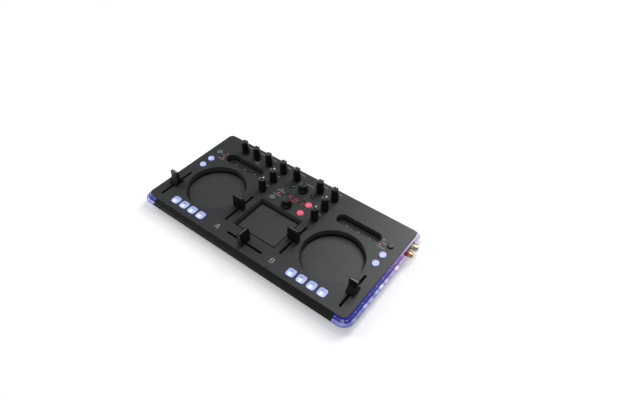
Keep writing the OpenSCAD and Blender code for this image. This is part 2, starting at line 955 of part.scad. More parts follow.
module sync_button_b() {
    round_button(4, [0.72, 0.76, 1.0]);
}

module shift_button_b() {
    round_button(5, [0.30, 0.31, 0.32]);
}

module loop_button() {
    round_button(6, [1.0, 0.35, 0.45]);
}

module hold_button() {
    round_button(7, [1.0, 0.35, 0.45]);
}

module tap_button() {
    round_button(8, [0.42, 0.44, 0.46]);
}

module domed_button(k) {
    color([0.05, 0.05, 0.05])
    at_plate()
    translate([button_list[k][0], button_list[k][1], 0]) {
        drum(0, 0, load_r, under - 0.4, plate_z + 0.4);
        intersection() {
            translate([0, 0, plate_z + 2.2 - dome_r])
                sphere(r = dome_r);
            drum(0, 0, load_r, plate_z + 0.3, plate_z + 3);
        }
        drum(0, 0, load_r + 1, under - 1.5, under - press / 2);
        drum(0, 0, 1.6, stem_end, under - 1);
    }
}

module load_button_a() {
    domed_button(9);
}

module load_button_b() {
    domed_button(10);
}

top_case();
bottom_case();
light_guide_left();
light_guide_right();
touch_wheel_a();
touch_wheel_b();
touch_strip_a();
touch_strip_b();
touch_pad();
display_window();
display_digits();
main_board();
rotary_pots();
encoders();
slide_pots();
button_switches();
indicator_lamps();
rca_sockets();
phones_jack();
mic_jack();
usb_socket();
case_screws();
rubber_feet();
effect_knob_1();
effect_knob_2();
effect_knob_3();
gain_knob_a();
high_knob_a();
mid_knob_a();
low_knob_a();
gain_knob_b();
high_knob_b();
mid_knob_b();
low_knob_b();
browse_knob();
program_knob();
level_cap_a();
level_cap_b();
cross_cap();
pitch_cap_a();
pitch_cap_b();
pad_a_1();
pad_a_2();
pad_a_3();
pad_a_4();
pad_b_1();
pad_b_2();
pad_b_3();
pad_b_4();
cue_button_a();
sync_button_a();
shift_button_a();
cue_button_b();
sync_button_b();
shift_button_b();
loop_button();
hold_button();
tap_button();
load_button_a();
load_button_b();
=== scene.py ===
# %% [markdown]
# # A two-deck touch controller, finished in Blender
#
# The hard shapes of this controller were made in CAD and are loaded here as a fixed frame: sixty
# named parts on thirty-eight bodies, one for the case and one for each knob, fader and button. They
# could be modelled again by hand, but the frame already has the right sizes and the right motion, so
# this script only adds what CAD leaves out: moulded plastic, light inside the side guides, soft caps
# on the buttons, printed marks, and a room with lights and a camera.

# %% Load the frame
import math

import bmesh
import bpy
from mathutils import Matrix, Vector


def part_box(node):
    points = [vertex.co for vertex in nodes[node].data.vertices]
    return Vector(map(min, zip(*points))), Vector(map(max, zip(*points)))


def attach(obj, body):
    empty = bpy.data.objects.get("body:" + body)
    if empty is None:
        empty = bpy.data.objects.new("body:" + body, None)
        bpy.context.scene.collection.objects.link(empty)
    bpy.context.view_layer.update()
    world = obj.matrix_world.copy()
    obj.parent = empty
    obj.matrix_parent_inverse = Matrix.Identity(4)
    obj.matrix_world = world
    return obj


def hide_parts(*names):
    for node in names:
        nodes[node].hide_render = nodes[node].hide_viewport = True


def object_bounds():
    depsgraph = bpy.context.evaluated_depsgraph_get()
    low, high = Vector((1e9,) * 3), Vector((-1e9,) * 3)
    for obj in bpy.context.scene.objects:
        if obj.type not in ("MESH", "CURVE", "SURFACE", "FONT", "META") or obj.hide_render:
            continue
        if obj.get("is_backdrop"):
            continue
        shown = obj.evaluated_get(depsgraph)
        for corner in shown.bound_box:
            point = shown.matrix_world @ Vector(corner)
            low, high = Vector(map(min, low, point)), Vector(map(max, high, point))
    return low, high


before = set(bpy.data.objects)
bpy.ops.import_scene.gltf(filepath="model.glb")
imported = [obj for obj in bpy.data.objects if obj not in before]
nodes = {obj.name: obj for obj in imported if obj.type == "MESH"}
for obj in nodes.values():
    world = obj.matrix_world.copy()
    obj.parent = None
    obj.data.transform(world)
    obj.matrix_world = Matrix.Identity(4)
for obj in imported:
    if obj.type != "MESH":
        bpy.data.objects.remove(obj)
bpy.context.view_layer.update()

# %% [markdown]
# ## Where things are
#
# Every place in this script is worked out from the frame, in metres. The top plate lies in one flat
# plane, so its height is the top of the display window. A small helper gives a node's middle and its
# highest and lowest points, which is all that a cap or a printed mark needs to find its seat.

# %% Measure the frame
MM = 0.001
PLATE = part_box("display_window")[1].z
WHEEL_B = (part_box("touch_wheel_b")[0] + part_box("touch_wheel_b")[1]) / 2
DECK_X = WHEEL_B.x
BACK_SHIFT = 3.5 * MM


def middle(node):
    """The middle of a node's footprint, at the height of the plate."""
    low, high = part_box(node)
    return Vector(((low.x + high.x) / 2, (low.y + high.y) / 2, PLATE))


def on_plate(x, y, up=0.0):
    """A point given in millimetres from the middle of the plate."""
    return Vector((x * MM, y * MM + BACK_SHIFT, PLATE + up * MM))


print("plate height mm:", round(PLATE / MM, 2), "deck centre mm:", round(DECK_X / MM, 1))

# %% [markdown]
# ## Writing shader maths as plain sums
#
# A material's pattern is a sum of masks and noises. Node by node that is long to read, so a `Wire`
# wraps one output socket and turns `+`, `-`, `*` and friends into Math nodes. The reflected forms let
# a plain number stand on the left, as in `1 - mask`. Colours never pass through Math nodes, which
# would turn them grey: they go through a Mix node instead.

# %% Wire: a socket that can be added and multiplied
class Wire:
    """One value in a material's node tree."""

    def __init__(self, finish, socket):
        self.finish = finish
        self.socket = socket

    def sum(self, operation, first, second=0.0):
        return self.finish.add("ShaderNodeMath", {"operation": operation}, {0: first, 1: second})

    def __add__(self, other):
        return self.sum("ADD", self, other)

    def __sub__(self, other):
        return self.sum("SUBTRACT", self, other)

    def __rsub__(self, other):
        return self.sum("SUBTRACT", other, self)

    def __mul__(self, other):
        return self.sum("MULTIPLY", self, other)

    def __pow__(self, other):
        return self.sum("POWER", self, other)

    def __lt__(self, other):
        return self.sum("LESS_THAN", self, other)

    def __abs__(self):
        return self.sum("ABSOLUTE", self)

    def at_least(self, other):
        return self.sum("MAXIMUM", self, other)

    __radd__ = __add__
    __rmul__ = __mul__


# %% [markdown]
# ## A finish is one material
#
# `Finish` holds a material and its Principled shader. Its one method `add` makes any node: settings
# come first, then the values or links of its sockets. The other methods are short names for things
# that every plastic here needs: the place on the object, noise of a real size in millimetres, a soft
# step, and a mask of the edges, where mouldings catch the light, rub bright first and get a painted
# highlight.

# %% Finish: a material built from short calls
class Finish:
    """A procedural material around one Principled shader."""

    def __init__(self, name, **steady):
        self.material = bpy.data.materials.new(name)
        self.material.use_nodes = True
        self.tree = self.material.node_tree
        self.shader = self.tree.nodes["Principled BSDF"]
        for socket, value in steady.items():
            self.shader.inputs[socket.replace("_", " ").title().replace("Ior", "IOR")].default_value = value
        self.place = self.add("ShaderNodeTexCoord", out="Object")

    def add(self, kind, settings=None, values=None, out=0):
        node = self.tree.nodes.new(kind)
        for name, value in (settings or {}).items():
            if name == "stops":
                self.set_stops(node.color_ramp.elements, value)
            else:
                setattr(node, name, value)
        for name, value in (values or {}).items():
            if isinstance(value, Wire):
                self.tree.links.new(value.socket, node.inputs[name])
            else:
                node.inputs[name].default_value = value
        return Wire(self, node.outputs[out])

    def set_stops(self, stops, wanted):
        stops[0].position, stops[0].color = wanted[0][0], (*wanted[0][1], 1)
        stops[1].position, stops[1].color = wanted[-1][0], (*wanted[-1][1], 1)
        for place, colour in wanted[1:-1]:
            stops.new(place).color = (*colour, 1)

    def feed(self, socket, wire):
        self.tree.links.new(wire.socket, self.shader.inputs[socket])

    def fed(self, socket):
        """What already feeds a socket of the shader."""
        return Wire(self, self.shader.inputs[socket].links[0].from_socket)

    def across(self, axis):
        """One coordinate of the place on the object, in millimetres."""
        return self.add("ShaderNodeSeparateXYZ", None, {0: self.place}, out=axis) * (1 / MM)

    def noise(self, size, detail=3.0, stretch=(1, 1, 1)):
        """Noise whose lumps are about size millimetres wide, from 0 to 1."""
        where = self.add("ShaderNodeMapping", None, {"Vector": self.place, "Scale": stretch})
        values = {"Vector": where, "Scale": 1 / (size * MM), "Detail": detail}
        return self.add("ShaderNodeTexNoise", None, values)

    def step(self, value, low, high, start=0.0, end=1.0):
        """A soft step from start to end as value goes from low to high."""
        levels = {"Value": value, "From Min": low, "From Max": high, "To Min": start, "To Max": end}
        return self.add("ShaderNodeMapRange", {"interpolation_type": "SMOOTHSTEP"}, levels)

    def mix(self, share, low, high, way="MIX"):
        """A colour between two others."""
        kind = {"data_type": "RGBA", "blend_type": way}
        return self.add("ShaderNodeMix", kind, {0: share, 6: low, 7: high}, out=2)

    def edges(self, radius):
        """1 on sharp edges and 0 on flats, by how far a rounded normal leans from the real one."""
        rounded = self.add("ShaderNodeBevel", {"samples": 6}, {"Radius": radius * MM})
        real = self.add("ShaderNodeNewGeometry", out="Normal")
        dot = {"operation": "DOT_PRODUCT"}
        lean = self.add("ShaderNodeVectorMath", dot, {0: rounded, 1: real}, out="Value")
        return self.step(1 - lean, 0.01, 0.2)

    def relief(self, height, depth, strength=1.0):
        """A bump of that depth in millimetres."""
        values = {"Height": height, "Distance": depth * MM, "Strength": strength}
        self.feed("Normal", self.add("ShaderNodeBump", None, values))


def rgb(red, green, blue):
    return (red, green, blue, 1.0)


# %% [markdown]
# ## Moulded plastic
#
# Nearly everything black on the controller is moulded ABS. A real moulding isn't one grey: the
# mould's spark texture breaks the gloss into fine grain, the flow of the melt leaves slow lighter and
# darker patches, hands leave faint smears, and the edges rub to a lighter line. That lighter edge is
# also a painted highlight, standing in for the light that the edges catch. One function makes that
# recipe, and each part only changes the tint, the grain and the gloss. Image textures could do it too,
# but noise stays sharp at any distance and needs no file.

# %% Moulded plastic recipe
def moulded(name, tint, grain=0.35, rough=0.45, wear_and_highlight=0.06, wear_and_highlight_radius=0.35, depth=0.02, **steady):
    plastic = Finish(name, **steady)
    patches = plastic.noise(60, 4.0)
    smears = plastic.noise(14, 5.0, stretch=(1.0, 2.2, 1.0))
    pits = plastic.noise(grain, 2.0)
    # Lighter edges: partly rubbed wear and partly a painted highlight where edges catch the light.
    edge_wear_and_highlight = plastic.edges(wear_and_highlight_radius) * plastic.step(plastic.noise(4.0), 0.3, 0.6, 0.55, 1.0)
    deep = [c * 0.86 for c in tint]
    lit = [c * 1.14 for c in tint]
    body = plastic.mix(patches, rgb(*deep), rgb(*lit))
    edge = [c + wear_and_highlight for c in tint]
    plastic.feed("Base Color", plastic.mix(edge_wear_and_highlight, body, rgb(*edge)))
    gloss = rough + (smears - 0.5) * 0.12 + (pits - 0.5) * 0.08 - edge_wear_and_highlight * 0.08
    plastic.feed("Roughness", gloss.at_least(0.05))
    plastic.relief(pits, depth, 0.5)
    return plastic


def dress(finish, *names):
    """Puts a finish on CAD nodes, through their material slots."""
    for name in names:
        part = nodes[name]
        part.data.materials.clear()
        part.data.materials.append(finish.material)


case_black = moulded("case_black_texture", (0.008, 0.008, 0.0084), grain=0.5, rough=0.5, wear_and_highlight=0.02,
                     depth=0.03, specular_ior_level=0.22)
cap_black = moulded("fader_cap_black", (0.004, 0.004, 0.0042), grain=0.3, rough=0.36, wear_and_highlight=0.05,
                    specular_ior_level=0.2)
socket_black = moulded("socket_black", (0.02, 0.02, 0.021), grain=0.25, rough=0.4)
switch_black = moulded("switch_black", (0.03, 0.03, 0.032), grain=0.2, rough=0.5)
# Painted shade: the slide pots are near-black so that the slots over them read as dark as shade.
pot_shade_black = moulded("slide_pot_painted_shade", (0.005, 0.005, 0.005), grain=0.2, rough=0.75)
dress(case_black, "bottom_case")
dress(socket_black, "phones_jack", "mic_jack")
dress(switch_black, "button_switches")
print("moulded finishes:", len([m for m in bpy.data.materials if m.users]))

# %% [markdown]
# ## The top plate and its glow
#
# The plate is a satin charcoal moulding. Each lit button stands in a hole a third of a millimetre
# wider than itself, and its light escapes there as a thin blue or red ring that fades over the plate.
# Lamps under a translucent plate would light it too, but that is slow and noisy for so thin a glow.
# Here the ring is worked out from the distance to the nearest lit button and fed to the emission
# colour. The two decks mirror each other, so `abs(x)` covers both, and folding the row of pads onto
# one pad covers four.

# %% Distances to the lit buttons
PAD_HALF = 6.3
PAD_CORNER = 3.2
PAD_TOP = 2.2
PAD_STEP = 17.2
ROUND_R = 4.9


def length(finish, a, b):
    return (a * a + b * b) ** 0.5


def pad_distance(finish):
    """Millimetres outside the nearest of the eight square pads."""
    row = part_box("pad_b_1")[0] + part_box("pad_b_1")[1]
    along = abs(finish.across(0)) - DECK_X / MM
    up = abs(finish.across(1) - row.y / 2 / MM)
    near = abs(abs(abs(along) - PAD_STEP) - PAD_STEP / 2)
    core = PAD_HALF - PAD_CORNER
    return length(finish, (near - core).at_least(0.0), (up - core).at_least(0.0)) - PAD_CORNER


def pair_distance(finish, first, second, mirrored):
    """Millimetres outside the nearer of two round buttons, one behind the other."""
    a, b = middle(first), middle(second)
    half = abs(a.y - b.y) / 2 / MM
    x = abs(finish.across(0)) if mirrored else finish.across(0)
    along = x - a.x / MM
    up = finish.across(1) - (a.y + b.y) / 2 / MM
    return length(finish, along, abs(up) - half) - ROUND_R


def halo(finish, distance, reach):
    """1 at the button's rim, fading to nothing over reach millimetres."""
    return finish.step(distance, 0.0, reach, 1.0, 0.0) ** 2.0


# %% The plate's own finish
# Heights in millimetres below which the walls of a wheel well, the pad well and a slot are painted near-black
# as shade.
WHEEL_DARK, PAD_DARK, SLOT_DARK = 15.7, 18.4, 22.2
SLOT_REACH = 3.5


def near(finish, value, centre, reach):
    """1 within reach of centre, else 0."""
    return abs(value - centre) < reach


def unlit_depth(finish):
    """1 deep in the wells and on the slots' inner walls, where no light reaches."""
    side, along, up = abs(finish.across(0)), finish.across(1), finish.across(2)
    level, pitch = abs(middle("level_cap_b").x) / MM, abs(middle("pitch_cap_b").x) / MM
    slots = near(finish, side, level, SLOT_REACH) * (along < 5.5) + near(finish, side, pitch, SLOT_REACH)
    slots = slots + near(finish, along, middle("cross_cap").y / MM, SLOT_REACH) * (side < 36.0)
    wells = WHEEL_DARK + (side < 45.0) * (PAD_DARK - WHEEL_DARK)
    line = wells.at_least(slots * SLOT_DARK) * (abs(along) < 88.0)
    return finish.step(up - line, 0.15, -0.15)


plate = moulded("top_plate_charcoal", (0.0245, 0.0249, 0.0253), grain=0.28, rough=0.42, wear_and_highlight=0.07,
                wear_and_highlight_radius=0.5, depth=0.015, emission_strength=1.0)
# Painted shade: the lower walls of the wells and the slots' inner walls are turned near-black.
plate.feed("Base Color", plate.mix(unlit_depth(plate), plate.fed("Base Color"), rgb(0.002, 0.002, 0.002)))
blue = halo(plate, pad_distance(plate), 2.6).at_least(
    halo(plate, pair_distance(plate, "cue_button_b", "sync_button_b", True), 2.2))
red = halo(plate, pair_distance(plate, "loop_button", "hold_button", False), 2.2)
glow = plate.mix(blue, rgb(0, 0, 0), rgb(0.018, 0.026, 0.22))
glow = plate.mix(red, glow, rgb(0.24, 0.008, 0.02), "ADD")
plate.feed("Emission Color", glow)
dress(plate, "top_case")
print("plate finish nodes:", len(plate.tree.nodes))

# %% [markdown]
# ## Touch surfaces
#
# The wheels, strips and pad are a smooth film over a sensor. Fingers polish it unevenly, so the gloss
# changes in slow smears while the colour hardly does. The film is a shade lighter than the plate, as
# on the real thing, which makes the painted shade on the well walls around it read.

# %% Touch film
def touch_film(name, tint):
    film = Finish(name)
    smears = film.noise(9, 6.0, stretch=(1.0, 1.6, 1.0))
    slow = film.noise(45, 2.0)
    fine = film.noise(0.16, 1.0)
    film.feed("Base Color", film.mix(slow, rgb(*[c * 0.93 for c in tint]), rgb(*[c * 1.07 for c in tint])))
    film.feed("Roughness", 0.40 + (smears - 0.5) * 0.16 + (fine - 0.5) * 0.06)
    film.relief(fine, 0.006, 0.4)
    return film


dress(touch_film("touch_wheel_film", (0.038, 0.0392, 0.039)), "touch_wheel_a", "touch_wheel_b")
dress(touch_film("touch_strip_film", (0.0215, 0.0218, 0.0221)), "touch_strip_a", "touch_strip_b")
dress(touch_film("touch_pad_film", (0.037, 0.0392, 0.0385)), "touch_pad")

# %% [markdown]
# ## The light guides
#
# A clear channel runs round each side under the plate's edge, with a row of small lamps behind it.
# The real light is colour-mixed: blue at the front corner, violet along the side and almost white at
# the back. The upper channel is deep and saturated, and the outer lip, which gathers the light, is
# pale. Real volume scattering would give this, at a cost of minutes, so the colour comes from two
# places on the guide: how far back it is, and how high. Its hidden inner side is kept dark, or its
# glow would show through the fader slots.

# %% Light guide finish
def guide_finish():
    guide = Finish("light_guide_glow", roughness=0.25, coat_weight=0.25, coat_roughness=0.1,
                   emission_strength=1.0)
    along, height = guide.across(1), guide.across(2)
    back = guide.step(along, -84.0, 92.0)
    lip = guide.step(height, 15.6, 14.7)
    streaks = guide.noise(5.0, 4.0, stretch=(0.35, 0.22, 1.0))
    lamp = {"operation": "WRAP"}
    from_lamp = abs(guide.add("ShaderNodeMath", lamp, {0: along, 1: 6.5, 2: -6.5}))
    spots = guide.step(from_lamp, 7.5, 0.6) * guide.step(streaks, 0.34, 0.66)
    spots = spots * guide.step(abs(height - 14.4), 1.5, 0.3) * guide.step(along, -88.0, -30.0, 0.30, 1.0)
    channel = guide.add("ShaderNodeValToRGB", {"stops": [
        (0.0, (0.008, 0.009, 0.17)), (0.35, (0.010, 0.008, 0.17)), (0.60, (0.040, 0.014, 0.19)),
        (0.80, (0.13, 0.055, 0.25)), (1.0, (0.42, 0.38, 0.54))]}, {0: back})
    outer = guide.add("ShaderNodeValToRGB", {"stops": [
        (0.0, (0.13, 0.15, 0.44)), (0.35, (0.17, 0.20, 0.50)), (0.62, (0.30, 0.23, 0.50)),
        (0.82, (0.38, 0.28, 0.50)), (1.0, (0.64, 0.62, 0.74))]}, {0: back})
    thread = guide.step(abs(height - 17.4 + (streaks - 0.5) * 1.2), 0.7, 0.1) * 0.45
    channel = guide.mix(thread, channel, outer)
    warm = guide.mix(back, rgb(0.62, 0.70, 0.98), rgb(0.98, 0.86, 0.94))
    # Painted shade: below the lip the glow is dimmed to a darker colour for the underside in shade.
    edge = guide.step(height, 14.0, 12.9) * 0.82
    shade = guide.mix(back, rgb(0.012, 0.015, 0.16), rgb(0.26, 0.18, 0.36))
    glow = guide.mix(edge, guide.mix(lip, channel, outer), shade)
    side = abs(guide.across(0))
    behind_corner = guide.step(side, 180.8, 180.3) * guide.step(along, -85.5, -84.5)
    under_plate = guide.step(side, 183.4, 182.8) * guide.step(along, -78.0, -76.0)
    hidden = behind_corner.at_least(under_plate)
    guide.feed("Emission Color", guide.mix(hidden, guide.mix(spots, glow, warm), rgb(0.0, 0.0, 0.0)))
    guide.feed("Base Color", guide.mix(back, rgb(0.012, 0.013, 0.05), rgb(0.08, 0.07, 0.10)))
    guide.relief(guide.noise(0.5, 2.0), 0.02, 0.4)
    return guide


dress(guide_finish(), "light_guide_left", "light_guide_right")

# %% [markdown]
# ## Metal, board, rubber and glass
#
# The inner parts only show through slots and sockets, yet the object is looked at from every side, so
# each gets its own finish: brushed steel cans, a lacquered green board, gold-plated barrels, and
# rubber feet. Metals get their look from fine scratches in the roughness, drawn out along one axis.

# %% Metals and inner parts
def metal(name, tint, rough, along=(1, 1, 14), scratch=0.3):
    plated = Finish(name, metallic=1.0)
    lines = plated.noise(scratch, 4.0, stretch=along)
    stains = plated.noise(6.0, 3.0)
    plated.feed("Base Color", plated.mix(stains, rgb(*[c * 0.82 for c in tint]), rgb(*tint)))
    plated.feed("Roughness", rough + (lines - 0.5) * 0.18 + (stains - 0.5) * 0.10)
    plated.relief(lines, 0.004, 0.5)
    return plated


def lacquered_board():
    board = Finish("board_green_lacquer", roughness=0.25, coat_weight=0.6, coat_roughness=0.1)
    tracks = board.add("ShaderNodeTexBrick", {"offset": 0.37}, {
        "Vector": board.place, "Scale": 260.0, "Mortar Size": 0.06, "Color1": rgb(0.012, 0.10, 0.045),
        "Color2": rgb(0.016, 0.13, 0.06), "Mortar": rgb(0.035, 0.22, 0.10)}, out="Color")
    board.feed("Base Color", board.mix(board.noise(3.0) * 0.3, tracks, rgb(0.01, 0.06, 0.03)))
    return board


def soft_rubber():
    rubber = Finish("foot_rubber", specular_ior_level=0.3)
    grain = rubber.noise(0.3, 3.0)
    dust = rubber.step(rubber.noise(3.0), 0.5, 0.75)
    rubber.feed("Base Color", rubber.mix(dust * 0.4, rgb(0.016, 0.016, 0.016), rgb(0.06, 0.058, 0.055)))
    rubber.feed("Roughness", 0.78 + (grain - 0.5) * 0.2)
    rubber.relief(grain, 0.04, 0.6)
    return rubber


def smoked_window():
    glass = Finish("smoked_window", alpha=0.62)
    glass.feed("Base Color", glass.mix(glass.noise(20.0), rgb(0.032, 0.031, 0.032), rgb(0.036, 0.035, 0.036)))
    glass.feed("Roughness", 0.32 + glass.noise(5.0, 4.0) * 0.10)
    return glass


def lamp_lens():
    lens = Finish("lamp_lens", roughness=0.15, emission_strength=1.0)
    row = lens.step(lens.across(2), 14.5, 18.0)
    swirl = lens.noise(1.2)
    lens.feed("Base Color", lens.mix(row, rgb(0.15, 0.15, 0.15), rgb(0.15, 0.02, 0.03)))
    dot = lens.mix(swirl, rgb(0.85, 0.08, 0.13), rgb(1.0, 0.32, 0.36))
    lens.feed("Emission Color", lens.mix(row, rgb(0.16, 0.17, 0.18), dot))
    return lens


steel = metal("pressed_steel", (0.42, 0.42, 0.43), 0.34)
screw_zinc = metal("screw_zinc", (0.50, 0.51, 0.53), 0.28, along=(1, 1, 1), scratch=0.6)
gold = metal("gold_plate", (0.72, 0.54, 0.27), 0.24, along=(1, 6, 6), scratch=0.5)
shell = metal("socket_shell", (0.60, 0.60, 0.62), 0.22, along=(10, 1, 1))
dress(steel, "rotary_pots", "encoders")
# The slide pots get the near-black painted shade.
dress(pot_shade_black, "slide_pots")
dress(screw_zinc, "case_screws")
dress(shell, "usb_socket")
dress(lacquered_board(), "main_board")
dress(soft_rubber(), "rubber_feet")
dress(smoked_window(), "display_window")
dress(lamp_lens(), "indicator_lamps")
dress(cap_black, "level_cap_a", "level_cap_b", "cross_cap", "pitch_cap_a", "pitch_cap_b")

# %% [markdown]
# ## The audio sockets in two materials
#
# The two barrels are gold-plated and their block is black moulding, but CAD holds them as one node.
# A mask on the distance from the case's side picks the metal: outside the block's face is gold.

# %% Socket finish
def audio_socket():
    face = (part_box("rca_sockets")[1].x / MM) - 9.2
    socket = Finish("audio_socket_block_and_barrel")
    barrel = socket.add("ShaderNodeMath", {"operation": "GREATER_THAN"}, {0: socket.across(0), 1: face})
    lines = socket.noise(0.5, 4.0, stretch=(1, 5, 5))
    socket.feed("Base Color", socket.mix(barrel, rgb(0.02, 0.02, 0.021), rgb(0.72, 0.54, 0.27)))
    socket.feed("Metallic", barrel)
    socket.feed("Roughness", 0.42 - barrel * 0.24 + (lines - 0.5) * 0.16)
    socket.relief(lines, 0.006, 0.4)
    return socket


dress(audio_socket(), "rca_sockets")

# %% [markdown]
# ## One loft for knobs, caps and buttons
#
# Every control here is a stack of outlines: round ones for knobs and round buttons, and rounded
# squares for the pads. A superellipse gives both, with a power of 2 for a circle and about 4.5 for a
# pad. Joining rings of equal count makes one closed skin with no poles in its sides. Bevelled
# primitives would need a modifier each and would not give the hollow in a knob's top.

# %% Loft a stack of outlines
SHARP_FROM = 32


def outline_point(half_x, half_y, power, angle):
    c, s = math.cos(angle), math.sin(angle)
    x = math.copysign(abs(c) ** (2 / power), c) * half_x
    y = math.copysign(abs(s) ** (2 / power), s) * half_y
    return x, y


def loft(name, rings, centre, count=48):
    """Rings are (half_x, half_y, power, height) in millimetres, from bottom to top."""
    shape = bmesh.new()
    rows = []
    for half_x, half_y, power, height in rings:
        row = []
        for step in range(count):
            x, y = outline_point(half_x, half_y, power, 2 * math.pi * (step + 0.5) / count)
            row.append(shape.verts.new(centre + Vector((x, y, height)) * MM))
        rows.append(row)
    for low, high in zip(rows, rows[1:]):
        for k in range(count):
            after = (k + 1) % count
            shape.faces.new((low[k], low[after], high[after], high[k]))
    shape.faces.new(rows[0][::-1])
    shape.faces.new(rows[-1])
    return as_piece(name, shape)


def as_piece(name, shape):
    """Turns a finished bmesh into an object at the origin, with faces outwards."""
    bmesh.ops.remove_doubles(shape, verts=shape.verts, dist=0.0000005)
    bmesh.ops.recalc_face_normals(shape, faces=shape.faces)
    mesh = bpy.data.meshes.new(name)
    shape.to_mesh(mesh)
    shape.free()
    mesh.shade_smooth()
    mesh.set_sharp_from_angle(angle=math.radians(SHARP_FROM))
    piece = bpy.data.objects.new(name, mesh)
    bpy.context.scene.collection.objects.link(piece)
    return piece


def round_rings(profile):
    return [(radius, radius, 2.0, height) for radius, height in profile]


def mount(piece, body, finish, node=None):
    """Gives a piece its finish, its body and, where it stands for one, its CAD node."""
    piece.data.materials.clear()
    piece.data.materials.append(finish.material)
    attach(piece, body)
    if node:
        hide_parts(node)
    return piece

# %% [markdown]
# ## Knobs
#
# A tall knob is a black soft-touch moulding: nearly straight, tapering near the top, where a hard
# glossy cap sits in a shallow dish. Cap and body are one loft, and the finish tells the cap from the
# body by its height. The dish throws a small white glint under the lamps, and the white pointer on
# each knob adds a painted one.

# %% Knob finish and shapes
KNOB_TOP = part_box("gain_knob_a")[1].z / MM
DIAL_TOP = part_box("browse_knob")[1].z / MM


def knob_finish(name, top):
    knob = Finish(name, specular_ior_level=0.28)
    high = knob.step(knob.across(2), top - 1.3, top - 1.0)
    grain = knob.noise(0.22, 2.0)
    wipe = knob.noise(7.0, 4.0, stretch=(1, 1, 0.4))
    edge_wear_and_highlight = knob.edges(0.3)
    body = knob.mix(wipe, rgb(0.0025, 0.0025, 0.0027), rgb(0.0045, 0.0045, 0.0048))
    cap = knob.mix(wipe, rgb(0.026, 0.027, 0.029), rgb(0.040, 0.041, 0.044))
    # The lighter knob edges are partly rubbed wear and partly a painted highlight.
    knob.feed("Base Color", knob.mix(edge_wear_and_highlight * 0.4, knob.mix(high, body, cap), rgb(0.06, 0.06, 0.063)))
    knob.feed("Roughness", 0.42 - high * 0.24 + (wipe - 0.5) * 0.14 + (grain - 0.5) * 0.06)
    knob.relief(grain, 0.012, 0.4)
    return knob


TALL_PROFILE = [(2.6, -10.1), (3.0, -9.7), (3.0, 0.9), (5.8, 0.8), (6.25, 0.95), (6.4, 1.4), (6.35, 6.0),
                (6.2, 11.0), (5.9, 15.0), (5.55, 18.5), (5.15, 21.8), (5.0, 22.6), (4.8, 23.05), (4.5, 23.3),
                (4.15, 23.4), (3.9, 23.3), (3.3, 22.95), (2.2, 22.75), (0.6, 22.68)]
DIAL_PROFILE = [(2.6, -10.1), (3.0, -9.7), (3.0, 0.9), (8.0, 0.8), (8.5, 0.95), (8.7, 1.4), (8.7, 2.8),
                (8.55, 3.3), (8.1, 3.9), (7.3, 4.9), (6.75, 6.2), (6.5, 7.6), (6.4, 9.4), (6.3, 11.2),
                (6.1, 12.1), (5.7, 12.75), (5.2, 13.05), (4.7, 13.1), (4.4, 13.0), (3.6, 12.7), (0.8, 12.55)]
knob_black = knob_finish("knob_soft_black", KNOB_TOP)
dial_black = knob_finish("dial_soft_black", DIAL_TOP)
tall_knobs = [n for n in nodes if "knob" in n and n not in ("browse_knob", "program_knob")]
for name in tall_knobs:
    mount(loft("shape_" + name, round_rings(TALL_PROFILE), middle(name)), name, knob_black, name)
for name in ("browse_knob", "program_knob"):
    mount(loft("shape_" + name, round_rings(DIAL_PROFILE), middle(name)), name, dial_black, name)
print("tall knobs:", len(tall_knobs))

# %% [markdown]
# ## Lit pads and buttons
#
# The pads are milky caps with a lamp under each. Looking down on one, the lamp shows as a bright spot
# towards the player, the far side is bluer, the edges are bright where the wall of the cap carries
# light up, and its foot is darker with painted shade. Each cap stands at its own place, so the pattern
# needs a place of its own: a vertex attribute holds each point's distance from the middle of its cap,
# and one finish then serves all eight.

# %% Store each cap's own place
def remember_place(piece, centre, half):
    """Writes x and y from the cap's middle, -1 to 1, and its height, as an attribute."""
    own = piece.data.attributes.new("cap_place", "FLOAT_VECTOR", "POINT")
    for vertex, value in zip(piece.data.vertices, own.data):
        away = (vertex.co - centre) / (half * MM)
        value.vector = (away.x, away.y, (vertex.co.z - PLATE) / MM)


def lit_cap(name, deep, pale, white, spot_y, rim=0.85, lit_from=2.0, dark_at=-0.3, reach=0.55, foot_shade=0.25):
    """A milky cap over a lamp at spot_y: white near it, deep far off, and painted shade at its foot."""
    cap = Finish(name, roughness=0.3, coat_weight=0.3, emission_strength=1.0)
    own = cap.add("ShaderNodeAttribute", {"attribute_name": "cap_place"}, out="Vector")
    x = cap.add("ShaderNodeSeparateXYZ", None, {0: own}, out=0)
    y = cap.add("ShaderNodeSeparateXYZ", None, {0: own}, out=1)
    up = cap.add("ShaderNodeSeparateXYZ", None, {0: own}, out=2)
    from_lamp = length(cap, x * 1.15, y - spot_y)
    from_edge = abs(x).at_least(abs(y))
    hot = cap.step(from_lamp, reach, 0.05)
    wall = cap.step(from_edge, rim, 1.0) * 0.7
    cloud = cap.noise(2.2, 3.0)
    glow = cap.mix(cap.step(from_lamp, 1.2, 0.2) * (0.75 + cloud * 0.4), rgb(*deep), rgb(*pale))
    glow = cap.mix(wall * cap.step(y, 0.6, -0.8, 0.35, 1.0), glow, rgb(*white))
    glow = cap.mix(hot, glow, rgb(*white))
    # Painted shade: the glow is dimmed down at the cap's foot, which sits low in its hole.
    foot = rgb(deep[0] * foot_shade, deep[1] * foot_shade, deep[2] * foot_shade * 2.4)
    glow = cap.mix(cap.step(up, lit_from, dark_at), glow, foot)
    cap.feed("Emission Color", glow)
    cap.feed("Base Color", cap.mix(cloud, rgb(0.05, 0.055, 0.08), rgb(0.07, 0.075, 0.11)))
    cap.relief(cap.noise(0.2, 2.0), 0.006, 0.3)
    return cap


